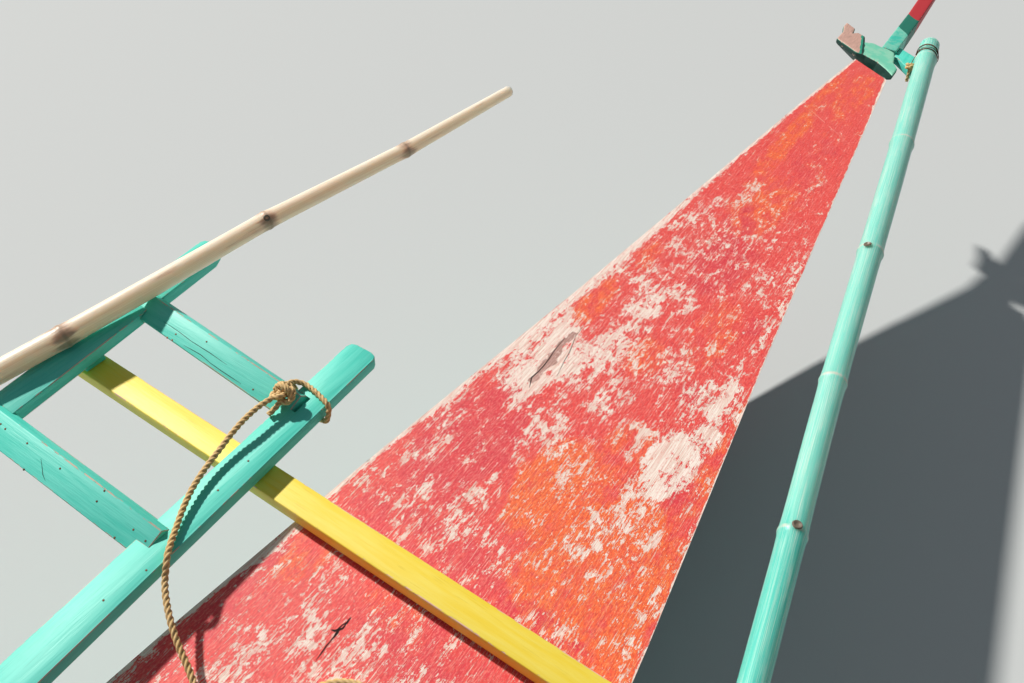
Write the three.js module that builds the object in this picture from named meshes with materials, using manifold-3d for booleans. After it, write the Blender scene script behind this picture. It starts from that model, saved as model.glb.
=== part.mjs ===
// A wooden double-outrigger motor canoe, afloat: painted plank hull on a hewn keel log, red decks,
// bamboo booms and floats, a boarding ladder stowed on a yellow cross beam, and two bamboo poles.
// Millimetres. X runs forward, Y to port, Z up. The origin is at the waterline under the hull's middle.
import * as THREE from "three";
import { mergeVertices } from "three/addons/utils/BufferGeometryUtils.js";
import Module from "manifold-3d";

const wasm = await Module();
wasm.setup();

// Driving dimensions of the hull.
const DECK = 700; // top of the decks above the water
const DECK_THICK = 16;
const SHEER = DECK - DECK_THICK - 0.3; // top edge of the planking, which carries the decks
const BOW = 5300; // end of the planking
const STERN = -5000; // flat transom
const WALL = 22; // planking
const KEEL_HALF = 30;
const DECK_LIP = 8; // how far the decks stand out past the planking
const COCKPIT_FRONT = 600;
const COCKPIT_AFT = -2700;
const LOG_HEIGHT = 190; // the hewn log's sides above its keel
const GAP = 0.3; // between pieces that touch
const POLE_SIDES = 12;
const POLE_FLAT = Math.cos(Math.PI / POLE_SIDES); // a pole's flat side is nearer its axis than its corners

// Driving dimensions of the outriggers.
const BOOM_STATIONS = { front: 450, middle: -1250, aft: -2950 };
const BOOM_RADIUS = 36;
const FLOAT_Y = 2500;
const FLOAT_Z = 35;
const FLOAT_RADIUS = 55;
const FLOAT_SPACING = 100; // between the two bamboos of one float
const FLOAT_FRONT = 2350;
const FLOAT_AFT = -4100;

// Driving dimensions of what lies on the foredeck.
const BEAM_X = 2603; // yellow cross beam
const BEAM_WIDE = 64;
const BEAM_TALL = 45;
const AFT_BEAM_X = 890;
const BEAM_PAD = 8; // the beams and the rails stand on low pads
const RAIL_THICK = 30;
const RAIL_PAD = 10;
const ROPE = 13.5;

const paint = (color, roughness = 0.7) =>
  new THREE.MeshStandardMaterial({ color, roughness, metalness: 0 });
const COLORS = {
  red: 0xc8403a,
  hull: 0x2f9c8f,
  keel: 0x7b2f2a,
  teal: 0x3fb49c,
  yellow: 0xe8bf2a,
  bamboo: 0xc9ab80,
  wood: 0x9c7a58,
  rope: 0xb48a4c,
  engine: 0x4a5a52,
  bronze: 0xa07a3c,
  steel: 0x8a8d8f,
};

const boat = new THREE.Group();

function addPiece(name, geometry, color, roughness) {
  const mesh = new THREE.Mesh(geometry, paint(color, roughness));
  mesh.name = name;
  boat.add(mesh);
  return mesh;
}

// A smooth curve through rows of [place, value], flat beyond its ends.
function curveThrough(rows) {
  const slope = (i) => {
    const a = rows[Math.max(i - 1, 0)];
    const b = rows[Math.min(i + 1, rows.length - 1)];
    return (b[1] - a[1]) / (b[0] - a[0]);
  };
  return (x) => {
    if (x <= rows[0][0]) return rows[0][1];
    if (x >= rows.at(-1)[0]) return rows.at(-1)[1];
    const i = rows.findIndex((row) => row[0] > x) - 1;
    const span = rows[i + 1][0] - rows[i][0];
    const t = (x - rows[i][0]) / span;
    const bend0 = slope(i) * span;
    const bend1 = slope(i + 1) * span;
    const rise = rows[i + 1][1] - rows[i][1];
    return rows[i][1] + bend0 * t + (3 * rise - 2 * bend0 - bend1) * t ** 2
      + (bend0 + bend1 - 2 * rise) * t ** 3;
  };
}

// Six times the volume inside a list of corner indexes, negative when the faces point inwards.
function signedVolume(positions, index) {
  const corner = (i) => new THREE.Vector3().fromArray(positions, 3 * index[i]);
  let sum = 0;
  for (let i = 0; i < index.length; i += 3) {
    sum += corner(i).dot(corner(i + 1).cross(corner(i + 2)));
  }
  return sum;
}

// Triangles of a ring's end cap, in the ring's own direction: a fan for a ring with no hollow.
const fanCap = (ring) => ring.slice(2).map((_, i) => [0, i + 1, i + 2]);

// The same for a ring with a hollow, which stands across the boat or lies level.
function hollowCap(ring) {
  const level = ring.every(([, , z]) => z === ring[0][2]);
  const outline = ring.map(([x, y, z]) => (level ? new THREE.Vector2(x, y) : new THREE.Vector2(y, z)));
  const turn = Math.sign(THREE.ShapeUtils.area(outline));
  return THREE.ShapeUtils.triangulateShape(outline, []).map(([a, b, c]) => {
    const area = THREE.ShapeUtils.area([outline[a], outline[b], outline[c]]);
    return Math.sign(area) === turn ? [a, b, c] : [a, c, b];
  });
}

// A closed body through rings of points, each ring with the same number of points in order. Each
// four-cornered face is split along its shorter diagonal, so that surfaces side by side split alike.
function loft(rings, cap = fanCap) {
  const count = rings[0].length;
  const positions = rings.flat(2);
  const apart = (i, j) => Math.hypot(...[0, 1, 2].map((k) => positions[3 * i + k] - positions[3 * j + k]));
  const index = [];
  for (let r = 0; r < rings.length - 1; r += 1) {
    for (let i = 0; i < count; i += 1) {
      const a = r * count + i;
      const b = r * count + ((i + 1) % count);
      const c = b + count;
      const d = a + count;
      if (apart(a, c) < apart(b, d)) index.push(a, b, c, a, c, d);
      else index.push(a, b, d, b, c, d);
    }
  }
  const last = (rings.length - 1) * count;
  for (const [a, b, c] of cap(rings[0])) index.push(a, c, b);
  for (const [a, b, c] of cap(rings.at(-1))) index.push(last + a, last + b, last + c);
  if (signedVolume(positions, index) < 0) index.reverse();
  const geometry = new THREE.BufferGeometry();
  geometry.setAttribute("position", new THREE.Float32BufferAttribute(positions, 3));
  geometry.setIndex(index);
  return geometry;
}

function toSolid(geometry) {
  const plain = geometry.clone();
  plain.deleteAttribute("normal");
  plain.deleteAttribute("uv");
  const merged = mergeVertices(plain, 1e-3);
  return new wasm.Manifold(new wasm.Mesh({
    numProp: 3,
    vertProperties: new Float32Array(merged.attributes.position.array),
    triVerts: new Uint32Array(merged.index.array),
  }));
}

function toGeometry(solid) {
  const mesh = solid.getMesh();
  const geometry = new THREE.BufferGeometry();
  geometry.setAttribute("position", new THREE.BufferAttribute(mesh.vertProperties, 3));
  geometry.setIndex(new THREE.BufferAttribute(mesh.triVerts, 1));
  return geometry;
}

// A box between two corners.
function block(low, high) {
  const size = high.map((value, i) => value - low[i]);
  const middle = high.map((value, i) => (value + low[i]) / 2);
  return new THREE.BoxGeometry(...size).translate(...middle);
}

// A flat board: an outline of [x, y] points from one height to another.
function board(outline, low, high) {
  const shape = new THREE.Shape(outline.map(([x, y]) => new THREE.Vector2(x, y)));
  const geometry = new THREE.ExtrudeGeometry(shape, { depth: high - low, bevelEnabled: false });
  return geometry.translate(0, 0, low);
}

// A round pole through rows of [x, y, z, radius].
function pole(rows, sides) {
  const centres = rows.map(([x, y, z]) => new THREE.Vector3(x, y, z));
  const rings = rows.map(([, , , radius], i) => {
    const before = centres[Math.max(i - 1, 0)];
    const after = centres[Math.min(i + 1, centres.length - 1)];
    const along = after.clone().sub(before).normalize();
    const aside = new THREE.Vector3(0, 0, 1).cross(along).normalize();
    const over = along.clone().cross(aside);
    return Array.from({ length: sides }, (_, k) => {
      const angle = (2 * Math.PI * (k + 0.5)) / sides;
      const point = centres[i].clone()
        .addScaledVector(aside, radius * Math.cos(angle))
        .addScaledVector(over, radius * Math.sin(angle));
      return point.toArray();
    });
  });
  return loft(rings);
}

// Half breadth of the deck, keel height and fullness of the section, along the boat.
const halfBeam = curveThrough([
  [STERN, 175], [-4200, 290], [-3000, 405], [-1500, 475], [0, 495],
  [1200, 470], [2145, 408], [2654, 363], [3530, 261], [BOW, 78],
]);
const keelHeight = curveThrough([
  [STERN, 60], [-4500, -70], [-4000, -210], [-3400, -330], [-2400, -380],
  [800, -380], [1800, -320], [2700, -180], [3500, -10], [4400, 250], [BOW, 560],
]);
const fullness = curveThrough([
  [STERN, 1.6], [-3400, 2.4], [-1500, 3.2], [800, 3], [2000, 2.2], [3500, 1.5], [BOW, 1.2],
]);
const STATIONS = [
  STERN, -4750, -4500, -4250, -4000, -3700, -3400, -3000, -2600, -2000, -1300, -600, 100, 700,
  1300, 1800, 2300, 2750, 3150, 3550, 4000, 4450, 4900, BOW,
];
const DEPTHS = [0, 0.16, 0.32, 0.48, 0.62, 0.74, 0.84, 0.93, 1];

// A point of the hull's port side at a depth from 0, the sheer, to 1, the keel, drawn in by `inset`.
function hullPoint(x, depth, inset) {
  const breadth = halfBeam(x) - DECK_LIP - inset;
  const keelHalf = KEEL_HALF - Math.min(inset, KEEL_HALF / 2);
  const keel = keelHeight(x) + 2 * inset;
  return [
    keelHalf + (breadth - keelHalf) * (1 - depth ** fullness(x)),
    SHEER + (keel - SHEER) * depth,
  ];
}

// One whole ring of the hull's section, carried up by `rise` past the sheer.
function hullRing(x, inset, rise = 0) {
  const half = DEPTHS.map((depth) => hullPoint(x, depth, inset));
  const top = rise ? [[half[0][0], SHEER + rise]] : [];
  const port = [...top, ...half];
  const starboard = [...port].reverse().map(([y, z]) => [-y, z]);
  return [...starboard, ...port].map(([y, z]) => [x, y, z]);
}

// The depth at which the log meets the side planking, on a surface drawn in by `inset`.
function seamDepth(x, inset) {
  const keel = keelHeight(x);
  return (keel + LOG_HEIGHT - SHEER) / (keel + 2 * inset - SHEER);
}

// Points down one face of the planking between two depths.
function face(x, inset, from, to, count) {
  return Array.from({ length: count }, (_, i) => hullPoint(x, from + ((to - from) * i) / (count - 1), inset));
}

const STEM_START = 4900;
const STERN_END = -4750;
const insideStations = STATIONS.filter((x) => x >= STERN_END && x <= STEM_START);
const insideFit = toSolid(loft(insideStations.map((x) => {
  const seam = seamDepth(x, WALL);
  const planking = face(x, WALL + GAP, 0, seam, 7);
  const port = [[planking[0][0], SHEER + 200], ...planking, ...face(x, WALL + GAP, seam, 1, 5).slice(1)];
  const starboard = [...port].reverse().map(([y, z]) => [-y, z]);
  return [...starboard, ...port].map(([y, z]) => [x, y, z]);
})));
const fitInside = (geometry) => toSolid(geometry).intersect(insideFit);

// Propeller shaft line, from the engine down and aft through the log.
const SHAFT_RADIUS = 15;
const SHAFT_FRONT = new THREE.Vector3(-2403, 0, -20);
const SHAFT_AFT = new THREE.Vector3(-4500, 0, -309);
const shaftDirection = SHAFT_AFT.clone().sub(SHAFT_FRONT).normalize();
const shaftPoint = (x) => SHAFT_FRONT.clone()
  .addScaledVector(shaftDirection, (x - SHAFT_FRONT.x) / shaftDirection.x);

// A round bar along the shaft line between two places.
function onShaft(fromX, toX, radius, sides = 16) {
  return pole([fromX, toX].map((x) => [...shaftPoint(x).toArray(), radius]), sides);
}

const STERN_TUBE = { from: -3640, to: -4090, outer: 30, bore: 20.5 };
const tubeHole = toSolid(onShaft(STERN_TUBE.from + 200, STERN_TUBE.to - 200, STERN_TUBE.outer + GAP));

// The log: a trough of one piece, from the stern block to the stem block.
const logRings = insideStations.map((x) => {
  const outer = face(x, 0, seamDepth(x, 0), 1, 6);
  const inner = face(x, WALL, seamDepth(x, WALL), 1, 5);
  const port = [...[...outer].reverse(), ...inner];
  const starboard = [...port].reverse().map(([y, z]) => [-y, z]);
  return [...port, ...starboard].map(([y, z]) => [x, y, z]);
});
addPiece("keel_log", toGeometry(toSolid(loft(logRings, hollowCap)).subtract(tubeHole)), COLORS.keel);

// Side planking, from the log up to the decks.
for (const [name, side] of [["side_port", 1], ["side_starboard", -1]]) {
  const rings = insideStations.map((x) => {
    const outer = face(x, 0, 0, seamDepth(x, 0) - 1e-3, 7);
    const inner = face(x, WALL, 0, seamDepth(x, WALL) - 1e-3, 7);
    return [...outer, ...inner.reverse()].map(([y, z]) => [x, side * y, z]);
  });
  addPiece(name, loft(rings, hollowCap), COLORS.hull);
}
addPiece("stem_block", loft([STEM_START + GAP, 5100, BOW].map((x) => hullRing(x, 0))), COLORS.hull);
addPiece("stern_block", loft([STERN, STERN_END - GAP].map((x) => hullRing(x, 0))), COLORS.hull);

// Decks: boards cut to the hull's plan, with the foredeck's tip a piece of its own, sawn off aslant.
function deckBoard(fromX, toX, tip = []) {
  const places = [fromX, ...STATIONS.filter((x) => x > fromX && x < toX), ...(tip.length ? [] : [toX])];
  const starboard = places.map((x) => [x, -halfBeam(x)]);
  const port = [...places].reverse().map((x) => [x, halfBeam(x)]);
  return board([...starboard, ...tip, ...port], DECK - DECK_THICK, DECK);
}
const DECK_SEAM = 4790;
const DECK_TIP = [[5247, -83], [5340, 66]];
addPiece("foredeck", deckBoard(COCKPIT_FRONT, DECK_SEAM), COLORS.red);
addPiece("foredeck_tip", deckBoard(DECK_SEAM + GAP, DECK_TIP[0][0], DECK_TIP), COLORS.red);
addPiece("aft_deck", deckBoard(STERN, COCKPIT_AFT), COLORS.red);

// Gunwales: caps along the cockpit's edges.
const GUNWALE_TOP = DECK + 14;
const GUNWALE_IN = 62;
for (const [name, side] of [["gunwale_port", 1], ["gunwale_starboard", -1]]) {
  const places = [COCKPIT_AFT + GAP, -2600, -2000, -1300, -600, 100, COCKPIT_FRONT - GAP];
  const outer = places.map((x) => [x, side * (halfBeam(x) + 6)]);
  const inner = [...places].reverse().map((x) => [x, side * (halfBeam(x) - GUNWALE_IN)]);
  addPiece(name, board([...outer, ...inner], SHEER + GAP, GUNWALE_TOP), COLORS.yellow);
}

// Inside the cockpit: bulkheads, floor, thwarts, engine and its bearers.
const bulkhead = (x) => fitInside(block([x, -600, -600], [x + 15, 600, SHEER]));
const shaftClear = toSolid(onShaft(-2450, -3000, SHAFT_RADIUS + 8));
addPiece("bulkhead_front", toGeometry(bulkhead(COCKPIT_FRONT + 25)), COLORS.hull);
addPiece("bulkhead_aft", toGeometry(bulkhead(COCKPIT_AFT - 40).subtract(shaftClear)), COLORS.hull);
const FLOOR_Z = -170;
addPiece("floor_boards", toGeometry(fitInside(
  block([-1700, -600, FLOOR_Z], [COCKPIT_FRONT + 24, 600, FLOOR_Z + 18]))), COLORS.wood);
const THWARTS = [["thwart_1", 60], ["thwart_2", -700], ["thwart_3", -1500]];
for (const [name, x] of THWARTS) {
  addPiece(name, toGeometry(fitInside(block([x - 120, -600, 330], [x + 120, 600, 356]))), COLORS.wood);
}
const ENGINE = { from: -2400, to: -1880, half: 170, low: -110, high: 290 };
addPiece("engine", block([ENGINE.from, -ENGINE.half, ENGINE.low], [ENGINE.to, ENGINE.half, ENGINE.high]),
  COLORS.engine);
for (const [name, y] of [["engine_bearer_port", 130], ["engine_bearer_starboard", -130]]) {
  addPiece(name, toGeometry(fitInside(
    block([ENGINE.from - 120, y - 32, -500], [ENGINE.to + 120, y + 32, ENGINE.low - GAP]))), COLORS.wood);
}

// Drive: stern tube, strut, turning shaft and propeller.
addPiece("stern_tube", toGeometry(
  toSolid(onShaft(STERN_TUBE.from, STERN_TUBE.to, STERN_TUBE.outer))
    .subtract(toSolid(onShaft(STERN_TUBE.from + 5, STERN_TUBE.to - 5, STERN_TUBE.bore)))), COLORS.bronze, 0.4);
const STRUT_X = -4330;
const strut = toSolid(onShaft(STRUT_X + 40, STRUT_X - 40, 30))
  .add(toSolid(block([STRUT_X - 30, -6, shaftPoint(STRUT_X).z], [STRUT_X + 30, 6, 0])))
  .subtract(toSolid(onShaft(STRUT_X + 50, STRUT_X - 50, STERN_TUBE.bore)))
  .subtract(toSolid(loft(STATIONS.map((x) => hullRing(x, 0)))).translate([0, 0, -GAP]));
addPiece("shaft_strut", toGeometry(strut), COLORS.bronze, 0.4);

const PROPELLER = { x: -4450, hub: 32, half: 38, reach: 150, blades: 3 };
function propellerSolid() {
  let solid = toSolid(onShaft(PROPELLER.x + PROPELLER.half, PROPELLER.x - PROPELLER.half, PROPELLER.hub, 18));
  const tilt = new THREE.Quaternion().setFromUnitVectors(new THREE.Vector3(-1, 0, 0), shaftDirection);
  for (let i = 0; i < PROPELLER.blades; i += 1) {
    const outline = [[-16, 20], [-42, 70], [-44, 115], [-18, 148], [14, 148], [36, 110], [34, 65], [14, 20]];
    const shape = new THREE.Shape(outline.map(([x, y]) => new THREE.Vector2(x, y)));
    const blade = new THREE.ExtrudeGeometry(shape, { depth: 8, bevelEnabled: false });
    blade.translate(0, 0, -4);
    blade.rotateY(THREE.MathUtils.degToRad(58));
    blade.rotateX((2 * Math.PI * i) / PROPELLER.blades);
    blade.applyQuaternion(tilt);
    blade.translate(...shaftPoint(PROPELLER.x).toArray());
    solid = solid.add(toSolid(blade));
  }
  return solid;
}
addPiece("propeller", toGeometry(propellerSolid()), COLORS.bronze, 0.35);
addPiece("propeller_shaft", onShaft(SHAFT_FRONT.x, PROPELLER.x + PROPELLER.half + GAP, SHAFT_RADIUS),
  COLORS.steel, 0.3);

// Rudder hung on the transom, with its stock, blade and tiller.
const STOCK_X = STERN - 60;
const STOCK_RADIUS = 17;
const upright = (radius, low, high, sides = 18) => toSolid(
  new THREE.CylinderGeometry(radius, radius, high - low, sides).rotateX(Math.PI / 2)
    .translate(STOCK_X, 0, (low + high) / 2));
const TOP_BRACKET = 600;
addPiece("rudder_stock", toGeometry(upright(STOCK_RADIUS, -430, 810)
  .add(upright(28, TOP_BRACKET + 20.5, TOP_BRACKET + 42))), COLORS.steel, 0.4);
for (const [name, z] of [["rudder_bracket_top", TOP_BRACKET], ["rudder_bracket_low", 130]]) {
  addPiece(name, toGeometry(toSolid(block([STOCK_X - 36, -34, z], [STERN - GAP, 34, z + 20]))
    .subtract(upright(STOCK_RADIUS + 5, z - 5, z + 25))), COLORS.steel, 0.4);
}
const bladeOutline = [[-14, -60], [-268, -110], [-303, -420], [-14, -420]];
const bladeShape = new THREE.Shape(bladeOutline.map(([x, z]) => new THREE.Vector2(x, z)));
const rudderBlade = new THREE.ExtrudeGeometry(bladeShape, { depth: 22, bevelEnabled: false })
  .rotateX(Math.PI / 2).translate(STOCK_X, 11, 0);
addPiece("rudder_blade", toGeometry(toSolid(rudderBlade).subtract(upright(STOCK_RADIUS + GAP, -500, 900))),
  COLORS.wood);
addPiece("tiller", toGeometry(
  toSolid(pole([[STOCK_X - 60, 0, 775, 26], [STOCK_X + 60, 0, 778, 26], [STOCK_X + 830, 0, 850, 17]], 12))
    .subtract(upright(STOCK_RADIUS + GAP, 700, 900))), COLORS.wood);

// Stem head, horned cleat, beak and bracket at the bow.
const HEAD_TOP = DECK - 60;
const BEAK_START = 5512.3;
addPiece("stem_head", loft([[BOW + GAP, 66, 560], [5400, 58, 578], [BEAK_START - GAP, 29, 602]].map(([x, half, low]) => [
  [x, -half, HEAD_TOP], [x, -half * 0.45, low], [x, half * 0.45, low], [x, half, HEAD_TOP],
])), COLORS.teal);
const cleatOutline = [
  [5475, 184], [5404, 82], [5398, 42], [5374, -10], [5336, -55], [5297, -92], [5364, -92], [5406, -66],
  [5448, -58], [5494, -44], [5507, -18], [5512, 14], [5526, 49], [5513, 79], [5562, 94], [5581, 128],
  [5565, 143], [5610, 150], [5647, 197], [5604, 197], [5552, 183],
];
// The cleat is carved away below, towards the stem head that carries it.
const CLEAT_FOOT = { x: 5445, y: 20, long: 0.66, wide: 0.5 };
const cleatFoot = cleatOutline.map(([x, y]) => [
  CLEAT_FOOT.x + (x - CLEAT_FOOT.x) * CLEAT_FOOT.long, CLEAT_FOOT.y + (y - CLEAT_FOOT.y) * CLEAT_FOOT.wide,
]);
addPiece("bow_cleat", loft([
  cleatFoot.map(([x, y]) => [x, y, HEAD_TOP + GAP]),
  cleatOutline.map(([x, y]) => [x, y, DECK - 20]),
  cleatOutline.map(([x, y]) => [x, y, DECK]),
], hollowCap), COLORS.teal);
const beakOutline = [[BEAK_START, 602], [5900, 640], [6150, 690], [6290, 745], [6300, 760], [6270, 770], [6100, 722],
  [5900, DECK], [BEAK_START, DECK]];
const beakShape = new THREE.Shape(beakOutline.map(([x, z]) => new THREE.Vector2(x, z)));
const BEAK_HALF = 29;
addPiece("prow_beak", new THREE.ExtrudeGeometry(beakShape, { depth: 2 * BEAK_HALF, bevelEnabled: false })
  .rotateX(Math.PI / 2).translate(0, BEAK_HALF - 18, 0), COLORS.teal);
const BRACKET_TOP = DECK - 14;
addPiece("bow_bracket", board([[5500, -47.3], [5490, -60], [5373, -172], [5504, -178], [5584, -47.3]],
  BRACKET_TOP - 30, BRACKET_TOP), COLORS.teal);

// Floats: two bamboos side by side, turned up at both ends.
const floatLift = curveThrough([
  [FLOAT_AFT, 230], [-3600, 70], [-3000, 10], [-2400, 0], [1000, 0], [1500, 20], [1950, 110], [FLOAT_FRONT, 260],
]);
function floatSolid(side, swell) {
  const places = [FLOAT_AFT, -3850, -3600, -3300, -3000, -2400, -1200, 0, 1000, 1300, 1600, 1950, 2150, FLOAT_FRONT];
  const bamboo = (shift) => toSolid(pole(places.map((x) => {
    const end = Math.min((x - FLOAT_AFT) / 900, (FLOAT_FRONT - x) / 900, 1);
    const radius = FLOAT_RADIUS * (0.72 + 0.28 * end) + swell;
    return [x, side * FLOAT_Y + shift, FLOAT_Z + floatLift(x), radius];
  }), 12));
  return bamboo(FLOAT_SPACING / 2).add(bamboo(-FLOAT_SPACING / 2));
}
addPiece("float_port", toGeometry(floatSolid(1, 0)), COLORS.bamboo);
addPiece("float_starboard", toGeometry(floatSolid(-1, 0)), COLORS.bamboo);

// Booms: poles across the gunwales that bend down to the floats.
const BOOM_REST = { front: GUNWALE_TOP, middle: GUNWALE_TOP, aft: DECK };
const BEND_START = 1350;
for (const [name, x] of Object.entries(BOOM_STATIONS)) {
  const level = BOOM_REST[name] + BOOM_RADIUS * POLE_FLAT + GAP;
  const drop = level - FLOAT_Z;
  const side = [500, 1000, BEND_START, 1600, 1850, 2050, 2250, 2400, FLOAT_Y];
  const places = [...side.map((y) => -y).reverse(), 0, ...side];
  const rows = places.map((y) => {
    const t = Math.max(Math.abs(y) - BEND_START, 0) / (FLOAT_Y - BEND_START);
    return [x, y, level - drop * t ** 2, BOOM_RADIUS * (1 - 0.15 * t)];
  });
  const boom = toSolid(pole(rows, POLE_SIDES)).subtract(floatSolid(1, GAP)).subtract(floatSolid(-1, GAP));
  const pieces = boom.decompose().sort((a, b) => b.volume() - a.volume());
  addPiece(`boom_${name}`, toGeometry(pieces[0]), COLORS.bamboo);
}

// Cross beams lying on the foredeck; the ladder rests across their port ends.
function beam(x, from, to) {
  const half = BEAM_WIDE / 2;
  const bar = toSolid(block([x - half, from, DECK + BEAM_PAD], [x + half, to, DECK + BEAM_TALL]));
  const pads = [-270, 200].map((y) => toSolid(block([x - half + 6, y, DECK + GAP], [x + half - 6, y + 50, DECK + 20])));
  return toGeometry(pads.reduce((solid, pad) => solid.add(pad), bar));
}
addPiece("cross_beam_front", beam(BEAM_X, -690, 1050), COLORS.yellow);
addPiece("cross_beam_aft", beam(AFT_BEAM_X, -560, 950), COLORS.yellow);

// Boarding ladder, laid flat with its treads tilted: rails first, then treads let into them.
const RAIL_LOW = DECK + BEAM_TALL + GAP;
const RAIL_FOOT = RAIL_LOW + RAIL_PAD;
const RAIL_TOP = RAIL_FOOT + RAIL_THICK;
const RAIL_AFT = 640;
// Each rail: starboard edge at the aft end and at the tip, width, tip, how much higher it lies.
const RAILS = {
  inner: { aftY: 401, tipX: 2975, tipY: 477, width: 80, lift: 0, corner: 16 },
  outer: { aftY: 841.4, tipX: 3032.9, tipY: 1032.5, width: 79.6, lift: 7, corner: 40 },
};
function railEdge(rail, x) {
  return rail.aftY + ((rail.tipY - rail.aftY) * (x - RAIL_AFT)) / (rail.tipX - RAIL_AFT);
}
function railSolid(rail) {
  const { tipX, width, lift, corner } = rail;
  const y = (x) => railEdge(rail, x);
  const outline = [
    [RAIL_AFT, y(RAIL_AFT)], [tipX - corner, y(tipX)], [tipX - 0.3 * corner, y(tipX) + 0.35 * corner], [tipX, y(tipX) + corner + 2],
    [tipX, y(tipX) + width - 18], [tipX - 4, y(tipX) + width - 6], [tipX - 16, y(tipX) + width],
    [RAIL_AFT, y(RAIL_AFT) + width],
  ];
  const pads = [AFT_BEAM_X, BEAM_X].map((x) => toSolid(block(
    [x - 26, y(x) + 8, RAIL_LOW], [x + 26, y(x) + width - 8, RAIL_FOOT + lift + 5])));
  return pads.reduce((solid, pad) => solid.add(pad), toSolid(board(outline, RAIL_FOOT + lift, RAIL_TOP + lift)));
}
// Treads: ridge place at rail 1, how far it shifts forward per unit to port, end on rail 1, and how much
// longer its mortise in the rails is.
const TREADS = [
  { name: "tread_1", ridge: 2780.5, skew: 0.0486, inset: 55, slot: 13 },
  { name: "tread_2", ridge: 2380.4, skew: 0.002, inset: 45 },
  { name: "tread_3", ridge: 1972, skew: -0.03, inset: 40 },
  { name: "tread_4", ridge: 1566, skew: -0.04, inset: 36 },
  { name: "tread_5", ridge: 1160, skew: -0.03, inset: 42 },
  { name: "tread_6", ridge: 754, skew: -0.04, inset: 38 },
];
const RIDGE_PROUD = 12;
// A tread's section as [forward, up] from its ridge: the worn top slopes aft, the front arris is cut off.
const TREAD_SECTION = [[0, 0], [-58.3, -21.2], [-52.8, -36.2], [18.6, -22], [18, -18]];

// A section drawn outwards all round.
function grown(section, by) {
  const outward = ([x0, z0], [x1, z1]) => {
    const length = Math.hypot(x1 - x0, z1 - z0);
    return [(z0 - z1) / length, (x1 - x0) / length];
  };
  return section.map((corner, i) => {
    const a = outward(section.at(i - 1), corner);
    const b = outward(corner, section[(i + 1) % section.length]);
    const reach = -by / (1 + a[0] * b[0] + a[1] * b[1]);
    return [corner[0] + (a[0] + b[0]) * reach, corner[1] + (a[1] + b[1]) * reach];
  });
}
function treadSolid({ ridge, skew, inset }, swell, slot = 0) {
  const from = railEdge(RAILS.inner, ridge) + inset - swell - slot;
  const to = railEdge(RAILS.outer, ridge) + RAILS.outer.width - 24 + swell;
  const zero = railEdge(RAILS.inner, ridge) + 120;
  return toSolid(loft([[from, RAILS.inner.lift], [to, RAILS.outer.lift]].map(([y, lift]) => (
    grown(TREAD_SECTION, swell).map(([x, z]) => [
      ridge + x + skew * (y - zero), y, RAIL_TOP + lift + RIDGE_PROUD + z,
    ])))));
}
for (const [key, name] of [["inner", "ladder_rail_inner"], ["outer", "ladder_rail_outer"]]) {
  const notched = TREADS.reduce((solid, tread) => solid.subtract(treadSolid(tread, GAP, tread.slot)),
    railSolid(RAILS[key]));
  addPiece(name, toGeometry(notched.decompose().sort((a, b) => b.volume() - a.volume())[0]), COLORS.teal);
}
for (const tread of TREADS) {
  addPiece(tread.name, toGeometry(treadSolid(tread, 0)), COLORS.teal);
}

// Bamboo poles: a bare one on the ladder and a painted one along the starboard side.
// It rests on the front boom, against the outer rail and on the first tread's ridge, and its tip points up.
const boomTop = GUNWALE_TOP + 2 * BOOM_RADIUS * POLE_FLAT + GAP;
const poleRows = [
  [-295, 1408, 110, 30.9], [450, 1318, 113.3, 30], [1594, 1199, 101, 28.7], [2102, 1136, 104, 28], [2441, 1087, 116, 27.3],
  [2585, 1060, 124, 27], [2777, 1033, 130.4, 26.4], [3136, 981, 147, 24.3], [3591, 886, 163, 21.6], [4034, 822, 178, 17.1],
];
addPiece("bamboo_pole", pole(poleRows.map(([x, y, rise, radius]) => [x, y, DECK + rise, radius]), POLE_SIDES),
  COLORS.bamboo);
// It rests on the front boom, the yellow cross beam's end and the bracket at the bow.
const RAIL_RESTS = [
  [BOOM_STATIONS.front, boomTop + 22 * POLE_FLAT + GAP],
  [BEAM_X, DECK + BEAM_TALL + 27 * POLE_FLAT + 3 * GAP],
  [5530, BRACKET_TOP + 38 * POLE_FLAT + GAP],
];
function bambooRailHeight(x) {
  const [a, b] = x < BEAM_X ? RAIL_RESTS : RAIL_RESTS.slice(1);
  return a[1] + ((b[1] - a[1]) * (x - a[0])) / (b[0] - a[0]);
}
const railRows = [[5590, -148, 38], [5450, -168, 38], [4500, -296, 36], [3540, -424, 31],
  [BEAM_X, -562, 27], [BOOM_STATIONS.front, -868, 22], [60, -925, 21]];
addPiece("bamboo_rail", pole(railRows.map(([x, y, radius]) => [x, y, bambooRailHeight(x), radius]),
  POLE_SIDES), COLORS.teal);

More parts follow.
